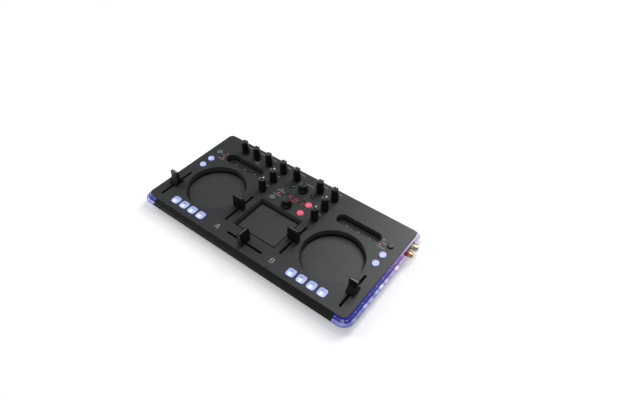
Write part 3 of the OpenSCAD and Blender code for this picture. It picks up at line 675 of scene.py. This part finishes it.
pad_lit = lit_cap("pad_lit_blue", (0.33, 0.37, 0.69), (0.52, 0.61, 0.87), (0.82, 0.92, 0.99), -0.45,
                  rim=0.78, lit_from=1.5, dark_at=0.5, reach=0.85, foot_shade=0.08)
round_lit = lit_cap("round_lit_blue", (0.40, 0.45, 0.74), (0.58, 0.64, 0.90), (0.80, 0.85, 0.98), -0.2)
round_red = lit_cap("round_lit_red", (0.66, 0.05, 0.09), (0.80, 0.11, 0.16), (0.90, 0.22, 0.27), -0.1)
grey_cap = moulded("round_milky_grey", (0.12, 0.14, 0.145), grain=0.25, rough=0.36, wear_and_highlight=0.05)
dark_cap = moulded("round_unlit_dark", (0.026, 0.026, 0.027), grain=0.25, rough=0.40, wear_and_highlight=0.08)
dome_black = moulded("dome_polished_black", (0.012, 0.012, 0.013), grain=0.4, rough=0.14, wear_and_highlight=0.05,
                     depth=0.005)

# %% Build the pads and buttons
PAD_RINGS = [(1.6, 1.6, 2.0, -11.0), (1.6, 1.6, 2.0, -3.5), (7.0, 7.0, 9.0, -3.5), (7.1, 7.1, 9.0, -3.4),
             (7.1, 7.1, 9.0, -2.25), (6.3, 6.3, 4.4, -2.2), (6.3, 6.3, 4.4, 1.4), (6.22, 6.22, 4.3, 1.72),
             (6.06, 6.06, 4.2, 1.94), (5.78, 5.78, 4.1, 2.08), (5.3, 5.3, 3.9, 2.15),
             (3.9, 3.9, 3.5, PAD_TOP), (0.8, 0.8, 2.0, PAD_TOP)]
ROUND_TOP = 2.4
ROUND_PROFILE = [(1.6, -11.0), (1.6, -3.5), (5.8, -3.5), (5.9, -3.4), (5.9, -2.25), (ROUND_R, -2.2),
                 (ROUND_R, 1.75), (4.86, 1.98), (4.72, 2.18), (4.46, 2.33), (4.1, ROUND_TOP),
                 (0.8, ROUND_TOP)]
DOME_PROFILE = [(1.6, -11.0), (1.6, -3.5), (5.1, -3.5), (5.2, -3.4), (5.2, -2.25), (4.2, -2.2), (4.2, 0.45),
                (4.12, 0.66), (3.8, 0.98), (3.2, 1.4), (2.4, 1.78), (1.4, 2.05), (0.4, 2.18)]
ROUND_FINISH = {"cue_button_a": (round_lit, "round_lit"), "cue_button_b": (round_lit, "round_lit"),
                "sync_button_a": (round_lit, "round_lit"), "sync_button_b": (round_lit, "round_lit"),
                "loop_button": (round_red, "round_red"), "hold_button": (round_red, "round_red"),
                "tap_button": (grey_cap, "round_grey"), "shift_button_a": (grey_cap, "round_grey"),
                "shift_button_b": (dark_cap, "round_grey")}
pads = [f"pad_{deck}_{place}" for deck in "ab" for place in (1, 2, 3, 4)]
for name in pads:
    piece = loft("shape_" + name, PAD_RINGS, middle(name), count=64)
    remember_place(piece, middle(name), PAD_HALF)
    mount(piece, name, pad_lit, name)
for name, (finish, slot_name) in ROUND_FINISH.items():
    piece = loft("shape_" + name, round_rings(ROUND_PROFILE), middle(name))
    remember_place(piece, middle(name), ROUND_R)
    mount(piece, name, finish, name)
for name in ("load_button_a", "load_button_b"):
    piece = loft("shape_" + name, round_rings(DOME_PROFILE), middle(name))
    mount(piece, name, dome_black, name)
print("lit pads:", len(pads), "round buttons:", len(ROUND_FINISH))

# %% [markdown]
# ## Geometry Nodes as short calls
#
# What repeats is made by Geometry Nodes: the dashes of the printed labels, the bars of the digits,
# the lamps along the light guides and the grip ribs of the dials. `Pattern` builds one tree with named
# sizes, runs it on a carrier mesh, and hands back a plain mesh. The tree ends in Realize Instances and
# Set Material, because instances don't survive an export.

# %% Pattern: one Geometry Nodes tree
class Pattern:
    """A Geometry Nodes tree with named sizes in metres."""

    def __init__(self, name, **sizes):
        self.name = name
        self.tree = bpy.data.node_groups.new(name, "GeometryNodeTree")
        face = self.tree.interface
        face.new_socket("Geometry", in_out="OUTPUT", socket_type="NodeSocketGeometry")
        face.new_socket("Geometry", in_out="INPUT", socket_type="NodeSocketGeometry")
        face.new_socket("Finish", in_out="INPUT", socket_type="NodeSocketMaterial")
        for label, value in sizes.items():
            kind = "NodeSocketInt" if isinstance(value, int) else "NodeSocketFloat"
            face.new_socket(label, in_out="INPUT", socket_type=kind).default_value = value
        self.given = self.tree.nodes.new("NodeGroupInput")
        self.carrier = self.size("Geometry")

    def size(self, label):
        return self.given.outputs[label]

    def add(self, kind, settings=None, values=None, out=0):
        node = self.tree.nodes.new(kind)
        for name, value in (settings or {}).items():
            setattr(node, name, value)
        for name, value in (values or {}).items():
            if isinstance(value, bpy.types.NodeSocket):
                self.tree.links.new(value, node.inputs[name])
            else:
                node.inputs[name].default_value = value
        return node.outputs[out]

    def attribute(self, name, kind="FLOAT"):
        return self.add("GeometryNodeInputNamedAttribute", {"data_type": kind}, {"Name": name})

    def close(self, geometry):
        solid = self.add("GeometryNodeRealizeInstances", None, {"Geometry": geometry})
        values = {"Geometry": solid, "Material": self.size("Finish")}
        dressed = self.add("GeometryNodeSetMaterial", None, values)
        end = self.tree.nodes.new("NodeGroupOutput")
        self.tree.links.new(dressed, end.inputs[0])
        return self

    def run(self, name, carrier_mesh, finish, **sizes):
        """Evaluates the tree on a mesh and returns a plain object at the origin."""
        holder = bpy.data.objects.new(name + "_carrier", carrier_mesh)
        bpy.context.scene.collection.objects.link(holder)
        modifier = holder.modifiers.new(self.name, "NODES")
        modifier.node_group = self.tree
        inputs = {s.name: s.identifier for s in self.tree.interface.items_tree if s.in_out == "INPUT"}
        modifier[inputs["Finish"]] = finish.material
        for label, value in sizes.items():
            modifier[inputs[label]] = value
        shown = holder.evaluated_get(bpy.context.evaluated_depsgraph_get())
        mesh = bpy.data.meshes.new_from_object(shown)
        bpy.data.objects.remove(holder)
        mesh.name = name
        piece = bpy.data.objects.new(name, mesh)
        bpy.context.scene.collection.objects.link(piece)
        return piece


def points_mesh(name, points, **numbers):
    """A carrier of bare points, with one number each under every given name."""
    mesh = bpy.data.meshes.new(name)
    mesh.from_pydata([tuple(p) for p in points], [], [])
    for label, values in numbers.items():
        mesh.attributes.new(label, "FLOAT", "POINT").data.foreach_set("value", values)
    return mesh


# %% [markdown]
# ## Printed marks
#
# Each control has a tiny printed name. The words are left out: a row of short dashes of uneven width
# stands for each, at the size and place of real printing. The ink is a few hundredths of a millimetre
# thick, so the dashes are thin raised bars, placed by Geometry Nodes on points that carry their width.

# %% Label dashes
def ink(name, dark, light, rough=0.5, size=0.5, detail=3.0):
    paint = Finish(name, roughness=rough)
    paint.feed("Base Color", paint.mix(paint.noise(size, detail), rgb(*dark), rgb(*light)))
    return paint


PRINT = ink("printed_ink_pale", (0.28, 0.29, 0.29), (0.38, 0.39, 0.39), 0.55, detail=2.0)
WHITE_PRINT = ink("printed_ink_white", (0.36, 0.37, 0.37), (0.46, 0.47, 0.47), size=0.6, detail=2.0)
LABELS = [(-50.3, 84.3, 8.8), (50.3, 84.3, 8.8), (-50.3, 58.0, 6.0), (50.3, 58.0, 6.0), (-50.3, 32.1, 6.0),
          (50.3, 32.1, 6.0), (-22.5, 84.6, 7.7), (22.5, 84.6, 7.7), (-132.0, 84.3, 8.0), (-106.7, 84.3, 8.0),
          (-80.4, 84.3, 8.5), (-99.4, 61.8, 8.5), (1.5, 72.2, 12.0), (-26.8, 35.7, 14.0), (-26.5, 25.8, 14.0),
          (155.5, 34.0, 12.0), (-155.5, 34.0, 12.0), (156.4, 43.0, 6.5), (-157.2, 43.0, 6.5)]
DASH_WIDTHS = (1.1, 0.8, 1.3, 0.9, 1.0, 1.2)


def label_dashes():
    points, widths = [], []
    for x, y, total in LABELS:
        along, k = -total / 2, 0
        while along < total / 2 - 0.6:
            width = DASH_WIDTHS[k % len(DASH_WIDTHS)]
            points.append(on_plate(x + along + width / 2, y, 0.015))
            widths.append(width * MM)
            along, k = along + width + 0.38, k + 1
    return points_mesh("label_points", points, dash_width=widths)


dash = Pattern("printed_dashes", **{"Bar Height": 1.15 * MM, "Ink Thickness": 0.06 * MM})
bar = dash.add("GeometryNodeMeshCube", None, {"Size": dash.add("ShaderNodeCombineXYZ", None, {
    0: 1.0, 1: dash.size("Bar Height"), 2: dash.size("Ink Thickness")})})
spread = dash.add("GeometryNodeInstanceOnPoints", None, {
    "Points": dash.carrier, "Instance": bar,
    "Scale": dash.add("ShaderNodeCombineXYZ", None, {0: dash.attribute("dash_width"), 1: 1.0, 2: 1.0})})
dash.close(spread)
marks = dash.run("printed_labels", label_dashes(), PRINT)
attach(marks, "chassis")
print("label dashes:", len(marks.data.polygons) // 6)

# %% [markdown]
# ## Strokes for letters and symbols
#
# The two deck letters and the signs on the lit caps are drawn with strokes: each stroke is a flat bar
# between two points with a little thickness. Text objects would bring a font with them, and a stroke
# keeps the slightly wide, technical look of the real marks.

# %% Strokes
def stroke(shape, start, end, width, base, thick):
    """A flat bar from start to end, in metres, standing on base."""
    a, b = Vector(start), Vector(end)
    along = (b - a).normalized()
    side = Vector((-along.y, along.x)) * width / 2
    corners = [a - side, b - side, b + side, a + side]
    low = [shape.verts.new((p.x, p.y, base)) for p in corners]
    high = [shape.verts.new((p.x, p.y, base + thick)) for p in corners]
    shape.faces.new(low[::-1])
    shape.faces.new(high)
    for k in range(4):
        shape.faces.new((low[k], low[(k + 1) % 4], high[(k + 1) % 4], high[k]))


def drawing(name, strokes, centre, width, base, thick=0.05):
    """Strokes are pairs of points in millimetres round the centre."""
    shape = bmesh.new()
    for x0, y0, x1, y1 in strokes:
        start = (centre.x + x0 * MM, centre.y + y0 * MM)
        end = (centre.x + x1 * MM, centre.y + y1 * MM)
        stroke(shape, start, end, width * MM, base, thick * MM)
    return as_piece(name, shape)


def arc(radius, start, end, steps, x=0.0, y=0.0):
    """A chain of strokes along part of a circle, angles in degrees."""
    turns = [math.radians(start + (end - start) * k / steps) for k in range(steps + 1)]
    dots = [(x + radius * math.cos(t), y + radius * math.sin(t)) for t in turns]
    return [(*a, *b) for a, b in zip(dots, dots[1:])]


LETTER_A = [(-3.0, -3.8, -0.9, 3.8), (-0.9, 3.8, 0.9, 3.8), (0.9, 3.8, 3.0, -3.8), (-2.1, -1.4, 2.1, -1.4)]
LETTER_B = ([(-2.6, -3.8, -2.6, 3.8), (-2.6, 3.6, 1.0, 3.6), (-2.6, 0.1, 1.2, 0.1), (-2.6, -3.6, 1.0, -3.6)]
            + arc(1.75, 90, -90, 4, 0.9, 1.85) + arc(1.85, 90, -90, 4, 1.1, -1.75))
for name, strokes, x in (("deck_letter_a", LETTER_A, -51.5), ("deck_letter_b", LETTER_B, 51.5)):
    letter = drawing(name, strokes, on_plate(x, -76.7), 0.8, PLATE - 0.02 * MM, 0.07)
    mount(letter, "chassis", WHITE_PRINT)

# %% Signs on the lit caps
SIGN_INK = ink("sign_ink", (0.05, 0.055, 0.14), (0.08, 0.085, 0.20))
PLAY_SIGN = [(-2.9, -1.1, -2.9, 1.1), (-1.8, -1.1, -1.8, 1.1), (-0.4, 1.15, -0.4, -1.15),
             (-0.1, 0.9, -0.1, -0.9), (0.4, 0.65, 0.4, -0.65), (0.9, 0.45, 0.9, -0.45), (1.4, 0.2, 1.4, -0.2)]
BAR_SIGN = [(-2.6, 0.0, -1.7, 0.0), (-1.3, 0.0, -0.5, 0.0), (-0.1, 0.0, 0.7, 0.0), (1.1, 0.0, 1.9, 0.0)]
RED_INK = ink("sign_ink_red", (0.45, 0.03, 0.06), (0.55, 0.05, 0.08))
SIGN_SINK = 0.03 * MM
for name in pads:
    sign = PLAY_SIGN if name.endswith("_2") else BAR_SIGN
    spot = middle(name) + Vector((0, 1.5 * MM, 0))
    width = 0.75 if name.endswith("_2") else 1.3
    shape = drawing("sign_" + name, sign, spot, width, PLATE + PAD_TOP * MM - SIGN_SINK, 0.07)
    mount(shape, name, SIGN_INK)
RING_SIGN = arc(2.1, 0, 360, 24)
ARCH_SIGN = arc(2.0, -30, 210, 16) + [(-0.8, -0.8, 0.8, -0.8)]
for name in ("cue_button_a", "cue_button_b", "sync_button_a", "sync_button_b", "loop_button", "hold_button"):
    sign = ARCH_SIGN if name.startswith("sync") else RING_SIGN
    paint = RED_INK if name in ("loop_button", "hold_button") else SIGN_INK
    shape = drawing("sign_" + name, sign, middle(name), 0.45, PLATE + ROUND_TOP * MM - SIGN_SINK, 0.06)
    mount(shape, name, paint)

# %% [markdown]
# ## The three-digit display
#
# Behind the window sits a black module with three digits of seven bars. The bars are slanted, pointed
# at both ends, and lit red where they make a number. The number here is 501. One Geometry Nodes
# tree lays a bar on every point of a carrier, turned by the point's own angle, and it runs twice:
# once for the lit bars and once for the dark ones.

# %% Display module and digits
DIGIT_W, DIGIT_H, DIGIT_LEAN = 5.0, 9.2, 0.17
LIT_BARS = {0: "acdfg", 1: "abcdef", 2: "bc"}
BAR_SPOTS = {"a": (0, 1, 0), "d": (0, -1, 0), "g": (0, 0, 0), "b": (1, 0.5, 90), "c": (1, -0.5, 90),
             "e": (-1, -0.5, 90), "f": (-1, 0.5, 90)}


def bar_carrier(lit):
    points, turns, lengths = [], [], []
    for place in range(3):
        for name, (side, up, angle) in BAR_SPOTS.items():
            if (name in LIT_BARS[place]) != lit:
                continue
            y = up * (DIGIT_H / 2)
            x = -8.0 + 10.6 * place + side * DIGIT_W / 2 + y * DIGIT_LEAN
            points.append(on_plate(x, 34.0 + y, -1.55))
            turns.append(math.radians(angle) - (math.atan(DIGIT_LEAN) if angle else 0.0))
            lengths.append((DIGIT_H / 2 - 0.3 if angle else DIGIT_W - 0.3) * MM)
    return points_mesh("bar_points", points, bar_turn=turns, bar_length=lengths)


def lit_red():
    glow = Finish("digit_lit_red", roughness=0.3, emission_strength=1.0)
    fleck = glow.noise(0.9, 2.0)
    glow.feed("Base Color", glow.mix(fleck, rgb(0.5, 0.03, 0.05), rgb(0.6, 0.05, 0.08)))
    glow.feed("Emission Color", glow.mix(fleck, rgb(3.2, 0.16, 0.36), rgb(4.0, 0.28, 0.50)))
    return glow


bars = Pattern("digit_bars", **{"Bar Thickness": 0.2 * MM, "Bar Width": 0.95 * MM})
blank = bars.add("GeometryNodeMeshCylinder", None, {
    "Vertices": 6, "Radius": 0.5, "Depth": bars.size("Bar Thickness")}, out="Mesh")
placed = bars.add("GeometryNodeInstanceOnPoints", None, {
    "Points": bars.carrier, "Instance": blank,
    "Rotation": bars.add("ShaderNodeCombineXYZ", None, {2: bars.attribute("bar_turn")}),
    "Scale": bars.add("ShaderNodeCombineXYZ", None, {
        0: bars.attribute("bar_length"), 1: bars.size("Bar Width"), 2: 1.0})})
bars.close(placed)
digit_dark = moulded("digit_dark", (0.03, 0.012, 0.014), grain=0.3, rough=0.3)
for name, lit, finish in (("digits_lit", True, lit_red()), ("digits_dark", False, digit_dark)):
    digits = bars.run(name, bar_carrier(lit), finish)
    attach(digits, "chassis")
    print(name, "bars:", len(digits.data.polygons) // 8)


def soft_blocks(name, blocks, bevel, finish, body="chassis"):
    """One piece of blocks with softened edges, each between two corners, in metres."""
    shape = bmesh.new()
    for low, high in blocks:
        size, centre = high - low, (low + high) / 2
        for corner in bmesh.ops.create_cube(shape, size=1.0)["verts"]:
            corner.co = centre + Vector(a * b for a, b in zip(corner.co, size))
    bmesh.ops.bevel(shape, geom=shape.edges[:], offset=bevel * MM, segments=2, affect="EDGES", profile=0.5)
    return mount(as_piece(name, shape), body, finish)


module_low, module_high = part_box("display_digits")
module_high.z = PLATE - 2.0 * MM
module = soft_blocks("display_module", [(module_low, module_high)], 0.4, moulded(
    "display_module_black", (0.012, 0.008, 0.008), grain=0.4, rough=0.35))
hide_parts("display_digits")

# %% [markdown]
# ## Lamps along the light guides
#
# Through the clear channel the small side lamps show as a string of bright beads at an even spacing.
# They follow the path of the plate's edge, round the front corner and along the side, so they are a
# Geometry Nodes pattern on a curve: resample the path, and put a small bead on every point.

# %% Beads along a path
GUIDE_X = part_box("light_guide_right")[1].x / MM - 8.0
CORNER = 8.0
FRONT_Y = -91.5


def guide_path(side, reach, height, back_end):
    """From the front of the guide, round the corner and back along the side."""
    points = [(GUIDE_X - 15.0, FRONT_Y - reach)]
    for k in range(7):
        turn = math.radians(-90 + 90 * k / 6)
        away = CORNER + reach
        points.append((GUIDE_X - CORNER + away * math.cos(turn), FRONT_Y + CORNER + away * math.sin(turn)))
    points.append((GUIDE_X + reach, back_end))
    mesh = bpy.data.meshes.new("guide_path")
    rows = [tuple(on_plate(side * x, y, height)) for x, y in points]
    mesh.from_pydata(rows, [(k, k + 1) for k in range(len(rows) - 1)], [])
    return mesh


string = Pattern("beads_on_a_path", **{"Spacing": 15.0 * MM, "Bead Radius": 0.55 * MM})
line = string.add("GeometryNodeMeshToCurve", None, {"Mesh": string.carrier})
line = string.add("GeometryNodeResampleCurve", {"mode": "LENGTH"}, {
    "Curve": line, "Length": string.size("Spacing")})
bead = string.add("GeometryNodeMeshUVSphere", None, {
    "Segments": 10, "Rings": 6, "Radius": string.size("Bead Radius")}, out="Mesh")
string.close(string.add("GeometryNodeInstanceOnPoints", None, {"Points": line, "Instance": bead}))


def bead_glow():
    glow = Finish("guide_lamp_bead", roughness=0.2, emission_strength=1.0)
    back = glow.step(glow.across(1), -70.0, 60.0)
    fleck = glow.noise(2.0, 2.0)
    glow.feed("Emission Color", glow.mix(back, rgb(0.55, 0.55, 1.3), rgb(1.5, 0.9, 1.5)))
    glow.feed("Base Color", glow.mix(fleck, rgb(0.5, 0.5, 0.7), rgb(0.7, 0.6, 0.8)))
    return glow


bead_finish = bead_glow()
for side, name in ((-1, "left"), (1, "right")):
    beads = string.run("guide_lamps_" + name, guide_path(side, 1.4, -5.2, 44.0), bead_finish)
    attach(beads, "chassis")
    print("beads", name, len(beads.data.polygons) // 60)

# %% [markdown]
# ## Grip ribs on the dials
#
# The two endless dials turn under one fingertip, so the skirt has fine upright ribs. Ribs repeat round a
# circle: a circle of points carries one small rib each, turned to face outwards.

# %% Ribs round a dial
ribs = Pattern("dial_ribs", **{
    "Count": 40, "Ring Radius": 6.42 * MM, "Rib Height": 4.2 * MM, "Rib Width": 0.42 * MM,
    "Rib Depth": 0.5 * MM})
ring = ribs.add("GeometryNodeCurvePrimitiveCircle", None, {
    "Resolution": ribs.size("Count"), "Radius": ribs.size("Ring Radius")})
rib = ribs.add("GeometryNodeMeshCube", None, {"Size": ribs.add("ShaderNodeCombineXYZ", None, {
    0: ribs.size("Rib Depth"), 1: ribs.size("Rib Width"), 2: ribs.size("Rib Height")})})
tangent = ribs.add("GeometryNodeInputTangent")
aligned = ribs.add("FunctionNodeAlignRotationToVector", {"axis": "Y"}, {"Vector": tangent})
ring_of_ribs = ribs.add("GeometryNodeInstanceOnPoints", None, {
    "Points": ring, "Instance": rib, "Rotation": aligned})
ribs.close(ring_of_ribs)
for name in ("browse_knob", "program_knob"):
    holder = bpy.data.meshes.new("rib_carrier")
    holder.from_pydata([(0, 0, 0)], [], [])
    band = ribs.run("ribs_" + name, holder, dial_black)
    band.data.transform(Matrix.Translation(middle(name) + Vector((0, 0, 8.6 * MM))))
    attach(band, name)
print("ribs a dial:", len(band.data.polygons) // 6)

# %% [markdown]
# ## Lines on knobs and fader caps
#
# Each knob has a thin pale pointer from the rim to the side, and each fader cap a pale line across its
# ridge, so the player can read a setting at a glance. The pointers are made white and wide enough to
# also stand in for the glint on the knob tops, and the cap lines for the light caught by the caps' top
# faces: both are partly real marks and partly painted highlight. They are small inlays that stand a few
# hundredths of a millimetre proud, and ride on the same body as their knob or cap.

# %% Pointers and cap lines
# The grey cap line is partly a real line and partly the painted highlight of the cap's lit top face.
LINE_AND_HIGHLIGHT_INK = ink("inlay_line_and_painted_highlight", (0.17, 0.175, 0.18), (0.25, 0.255, 0.26), 0.4, 0.8, 2.0)
# The white pointer is partly a real pointer and partly a painted glint on the knob top.
POINTER_AND_GLINT_INK = ink("inlay_pointer_and_painted_glint", (0.80, 0.81, 0.83), (0.92, 0.93, 0.95), 0.4, 0.8, 2.0)


def block_at(centre, half):
    """The two corners of a block, half sizes in millimetres."""
    half = Vector(half) * MM
    return centre - half, centre + half


for name in tall_knobs:
    over_dish = middle(name) + Vector((0, 3.7, 23.12)) * MM
    down_side = middle(name) + Vector((0, 5.05, 21.75)) * MM
    arms = [block_at(over_dish, (0.7, 1.5, 0.32)), block_at(down_side, (0.6, 0.28, 1.3))]
    soft_blocks("pointer_" + name, arms, 0.12, POINTER_AND_GLINT_INK, name)
# Each cap line: partly a real mark, partly a painted highlight along the cap's top.
CAP_LINES_AND_HIGHLIGHTS = {"level_cap_a": (7.6, 0.42, 0.05), "level_cap_b": (7.6, 0.42, 0.05),
             "cross_cap": (0.42, 7.6, 0.05), "pitch_cap_a": (5.9, 0.9, 0.05),
             "pitch_cap_b": (5.9, 0.9, 0.05)}
for name, half in CAP_LINES_AND_HIGHLIGHTS.items():
    low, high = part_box(name)
    ridge = Vector(((low.x + high.x) / 2, (low.y + high.y) / 2, high.z - 0.01 * MM))
    soft_blocks("line_" + name, [block_at(ridge, half)], 0.04, LINE_AND_HIGHLIGHT_INK, name)
print("pointers:", len(tall_knobs), "cap lines:", len(CAP_LINES_AND_HIGHLIGHTS))

# %% [markdown]
# ## Inside the sockets
#
# A close look at the edges shows small things that make them real: a coloured ring in each audio
# barrel, red for right and white for left, a bright rim in each mini jack, and the tongue with four
# contacts in the data socket. The rings are lofts laid on their side.

# %% Socket details
TO_RIGHT = Matrix.Rotation(math.radians(90), 3, "Y")
TO_LEFT = Matrix.Rotation(math.radians(-90), 3, "Y")
BARREL_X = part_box("rca_sockets")[1].x
SOCKET_Z = 12.2 * MM


def ring_piece(name, rings, centre, turn, finish):
    """A closed ring: its outline goes out, round and back in, and joins up."""
    shape = bmesh.new()
    count, rows = 40, []
    for radius, height in rings:
        row = [(radius, 2 * math.pi * k / count) for k in range(count)]
        spots = [Vector((r * math.cos(t), r * math.sin(t), height)) * MM for r, t in row]
        rows.append([shape.verts.new(centre + turn @ spot) for spot in spots])
    for low, high in zip(rows, rows[1:] + rows[:1]):
        for k in range(count):
            after = (k + 1) % count
            shape.faces.new((low[k], low[after], high[after], high[k]))
    return mount(as_piece(name, shape), "chassis", finish)


insert_red = moulded("socket_insert_red", (0.32, 0.014, 0.012), grain=0.4, rough=0.3, wear_and_highlight=0.05)
insert_white = moulded("socket_insert_white", (0.50, 0.47, 0.40), grain=0.4, rough=0.3, wear_and_highlight=0.05)
INSERT = [(1.7, 0.0), (1.75, 0.25), (3.2, 0.3), (3.3, 0.1), (3.3, -0.3), (1.7, -0.3)]
BAND = [(4.1, 0.0), (4.2, 0.02), (4.28, 0.3), (4.28, 3.6), (4.2, 3.9), (4.1, 3.9)]
for name, y, finish in (("right", 55.2, insert_red), ("left", 70.6, insert_white)):
    mouth = Vector((BARREL_X, y * MM + BACK_SHIFT, SOCKET_Z))
    ring_piece("insert_rca_" + name, INSERT, mouth, TO_RIGHT, finish)
    foot = mouth - Vector((9.3 * MM, 0, 0))
    ring_piece("band_rca_" + name, BAND, foot, TO_RIGHT, finish)
RIM = [(1.85, 0.0), (1.95, 0.2), (2.6, 0.25), (2.75, 0.1), (2.75, -0.1), (1.85, -0.1)]
jack_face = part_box("phones_jack")[0].x
for name, y in (("phones", 70.7), ("mic", 55.1)):
    mouth = Vector((jack_face, y * MM + BACK_SHIFT, SOCKET_Z))
    ring_piece("rim_" + name, RIM, mouth, TO_LEFT, shell)
usb_low, usb_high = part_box("usb_socket")
usb_mid = (usb_low + usb_high) / 2
tongue_low = Vector((usb_mid.x - 2.8 * MM, usb_high.y - 8.2 * MM, usb_mid.z - 1.5 * MM))
tongue_high = Vector((usb_mid.x + 2.8 * MM, usb_high.y - 0.9 * MM, usb_mid.z + 1.5 * MM))
tongue_white = moulded("socket_tongue_white", (0.55, 0.55, 0.53), grain=0.4, rough=0.4, wear_and_highlight=0.04)
soft_blocks("usb_tongue", [(tongue_low, tongue_high)], 0.25, tongue_white)
contacts = []
for x, z in ((-1.25, 1.53), (1.25, 1.53), (-1.25, -1.53), (1.25, -1.53)):
    pin = Vector((usb_mid.x + x * MM, tongue_high.y - 3.2 * MM, usb_mid.z + z * MM))
    contacts.append(block_at(pin, (0.5, 2.8, 0.06)))
soft_blocks("usb_contacts", contacts, 0.03, gold)
print("socket details made")

# %% [markdown]
# ## Floor, light and camera
#
# The controller lies on a plain pale floor in soft studio light: a broad panel over the back right
# that grades the plate from dark to light, a lower one from the left, and a small lamp high up for the
# glints on the knob tops. The camera looks down over the player's left shoulder.

# %% Studio
scene = bpy.context.scene
scene.view_settings.view_transform = "Standard"


def pale_floor():
    floor = Finish("floor_pale", roughness=0.6, emission_strength=0.22)
    floor.feed("Emission Color", floor.mix(floor.noise(300, 2.0), rgb(0.98, 0.98, 0.98), rgb(1.0, 1.0, 1.0)))
    floor.feed("Base Color", floor.mix(floor.noise(400, 2.0), rgb(0.86, 0.86, 0.86), rgb(0.89, 0.89, 0.89)))
    return floor


plane = bpy.data.meshes.new("floor")
REACH, UNDER = 6, -0.0002
corners = [(-REACH, -REACH), (REACH, -REACH), (REACH, REACH), (-REACH, REACH)]
plane.from_pydata([(x, y, UNDER) for x, y in corners], [], [(0, 1, 2, 3)])
floor = bpy.data.objects.new("floor", plane)
scene.collection.objects.link(floor)
plane.materials.append(pale_floor().material)
floor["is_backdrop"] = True

world = bpy.data.worlds.new("studio")
scene.world = world
world.use_nodes = True
sky = world.node_tree.nodes["Background"]
sky.inputs["Color"].default_value = (0.92, 0.95, 1.0, 1.0)
sky.inputs["Strength"].default_value = 0.27


def panel(name, place, aim, width, height, power, tint=(1, 1, 1)):
    """A soft light panel at place that faces aim."""
    data = bpy.data.lights.new(name, "AREA")
    data.shape = "RECTANGLE"
    data.size, data.size_y = width, height
    data.energy, data.color = power, tint
    lamp = bpy.data.objects.new(name, data)
    scene.collection.objects.link(lamp)
    lamp.location = place
    lamp.rotation_euler = (Vector(aim) - Vector(place)).to_track_quat("-Z", "Y").to_euler()
    return lamp


panel("key_panel", (0.15, 1.25, 1.15), (0.1, 0.0, 0.0), 0.9, 0.7, 14.4)
panel("left_panel", (-1.3, -0.3, 1.0), (0.0, 0.0, 0.0), 0.8, 0.8, 8, (0.96, 0.98, 1.0))
panel("front_panel", (0.6, -1.2, 1.3), (0.0, 0.0, 0.0), 0.8, 0.6, 7)
panel("glint_lamp", (0.05, 0.45, 1.3), (0.0, 0.0, 0.0), 0.10, 0.10, 2.5)

# %% Camera
CAMERA_TURN, CAMERA_RISE, CAMERA_ROLL = 36.0, 44.79, 1.41
CAMERA_AWAY = 0.7879
CAMERA_LENS, CAMERA_SENSOR = 29.19, 36.0
CAMERA_AIM = Vector((0.0328, 0.0600, 0.0225))


def place_camera():
    turn, rise, roll = (math.radians(a) for a in (CAMERA_TURN, CAMERA_RISE, CAMERA_ROLL))
    back = Vector((math.sin(turn) * math.cos(rise), -math.cos(turn) * math.cos(rise), math.sin(rise)))
    right = Vector((math.cos(turn), math.sin(turn), 0.0))
    up = back.cross(right)
    right = right * math.cos(roll) + up * math.sin(roll)
    up = back.cross(right)
    camera = bpy.data.objects.new("camera", bpy.data.cameras.new("camera"))
    camera.data.lens, camera.data.sensor_width = CAMERA_LENS, CAMERA_SENSOR
    camera.data.clip_start = 0.01
    scene.collection.objects.link(camera)
    camera.matrix_world = Matrix.Translation(CAMERA_AIM + back * CAMERA_AWAY) @ Matrix(
        (right, up, back)).transposed().to_4x4()
    scene.camera = camera
    return camera


place_camera()

# %% [markdown]
# ## Sizes and the last line
#
# The last cell prints the size of the dressed object, in millimetres.

# %% Write the sizes and finish
bpy.context.view_layer.update()
low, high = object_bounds()
print("visual box mm:", [round((b - a) / MM, 1) for a, b in zip(low, high)])
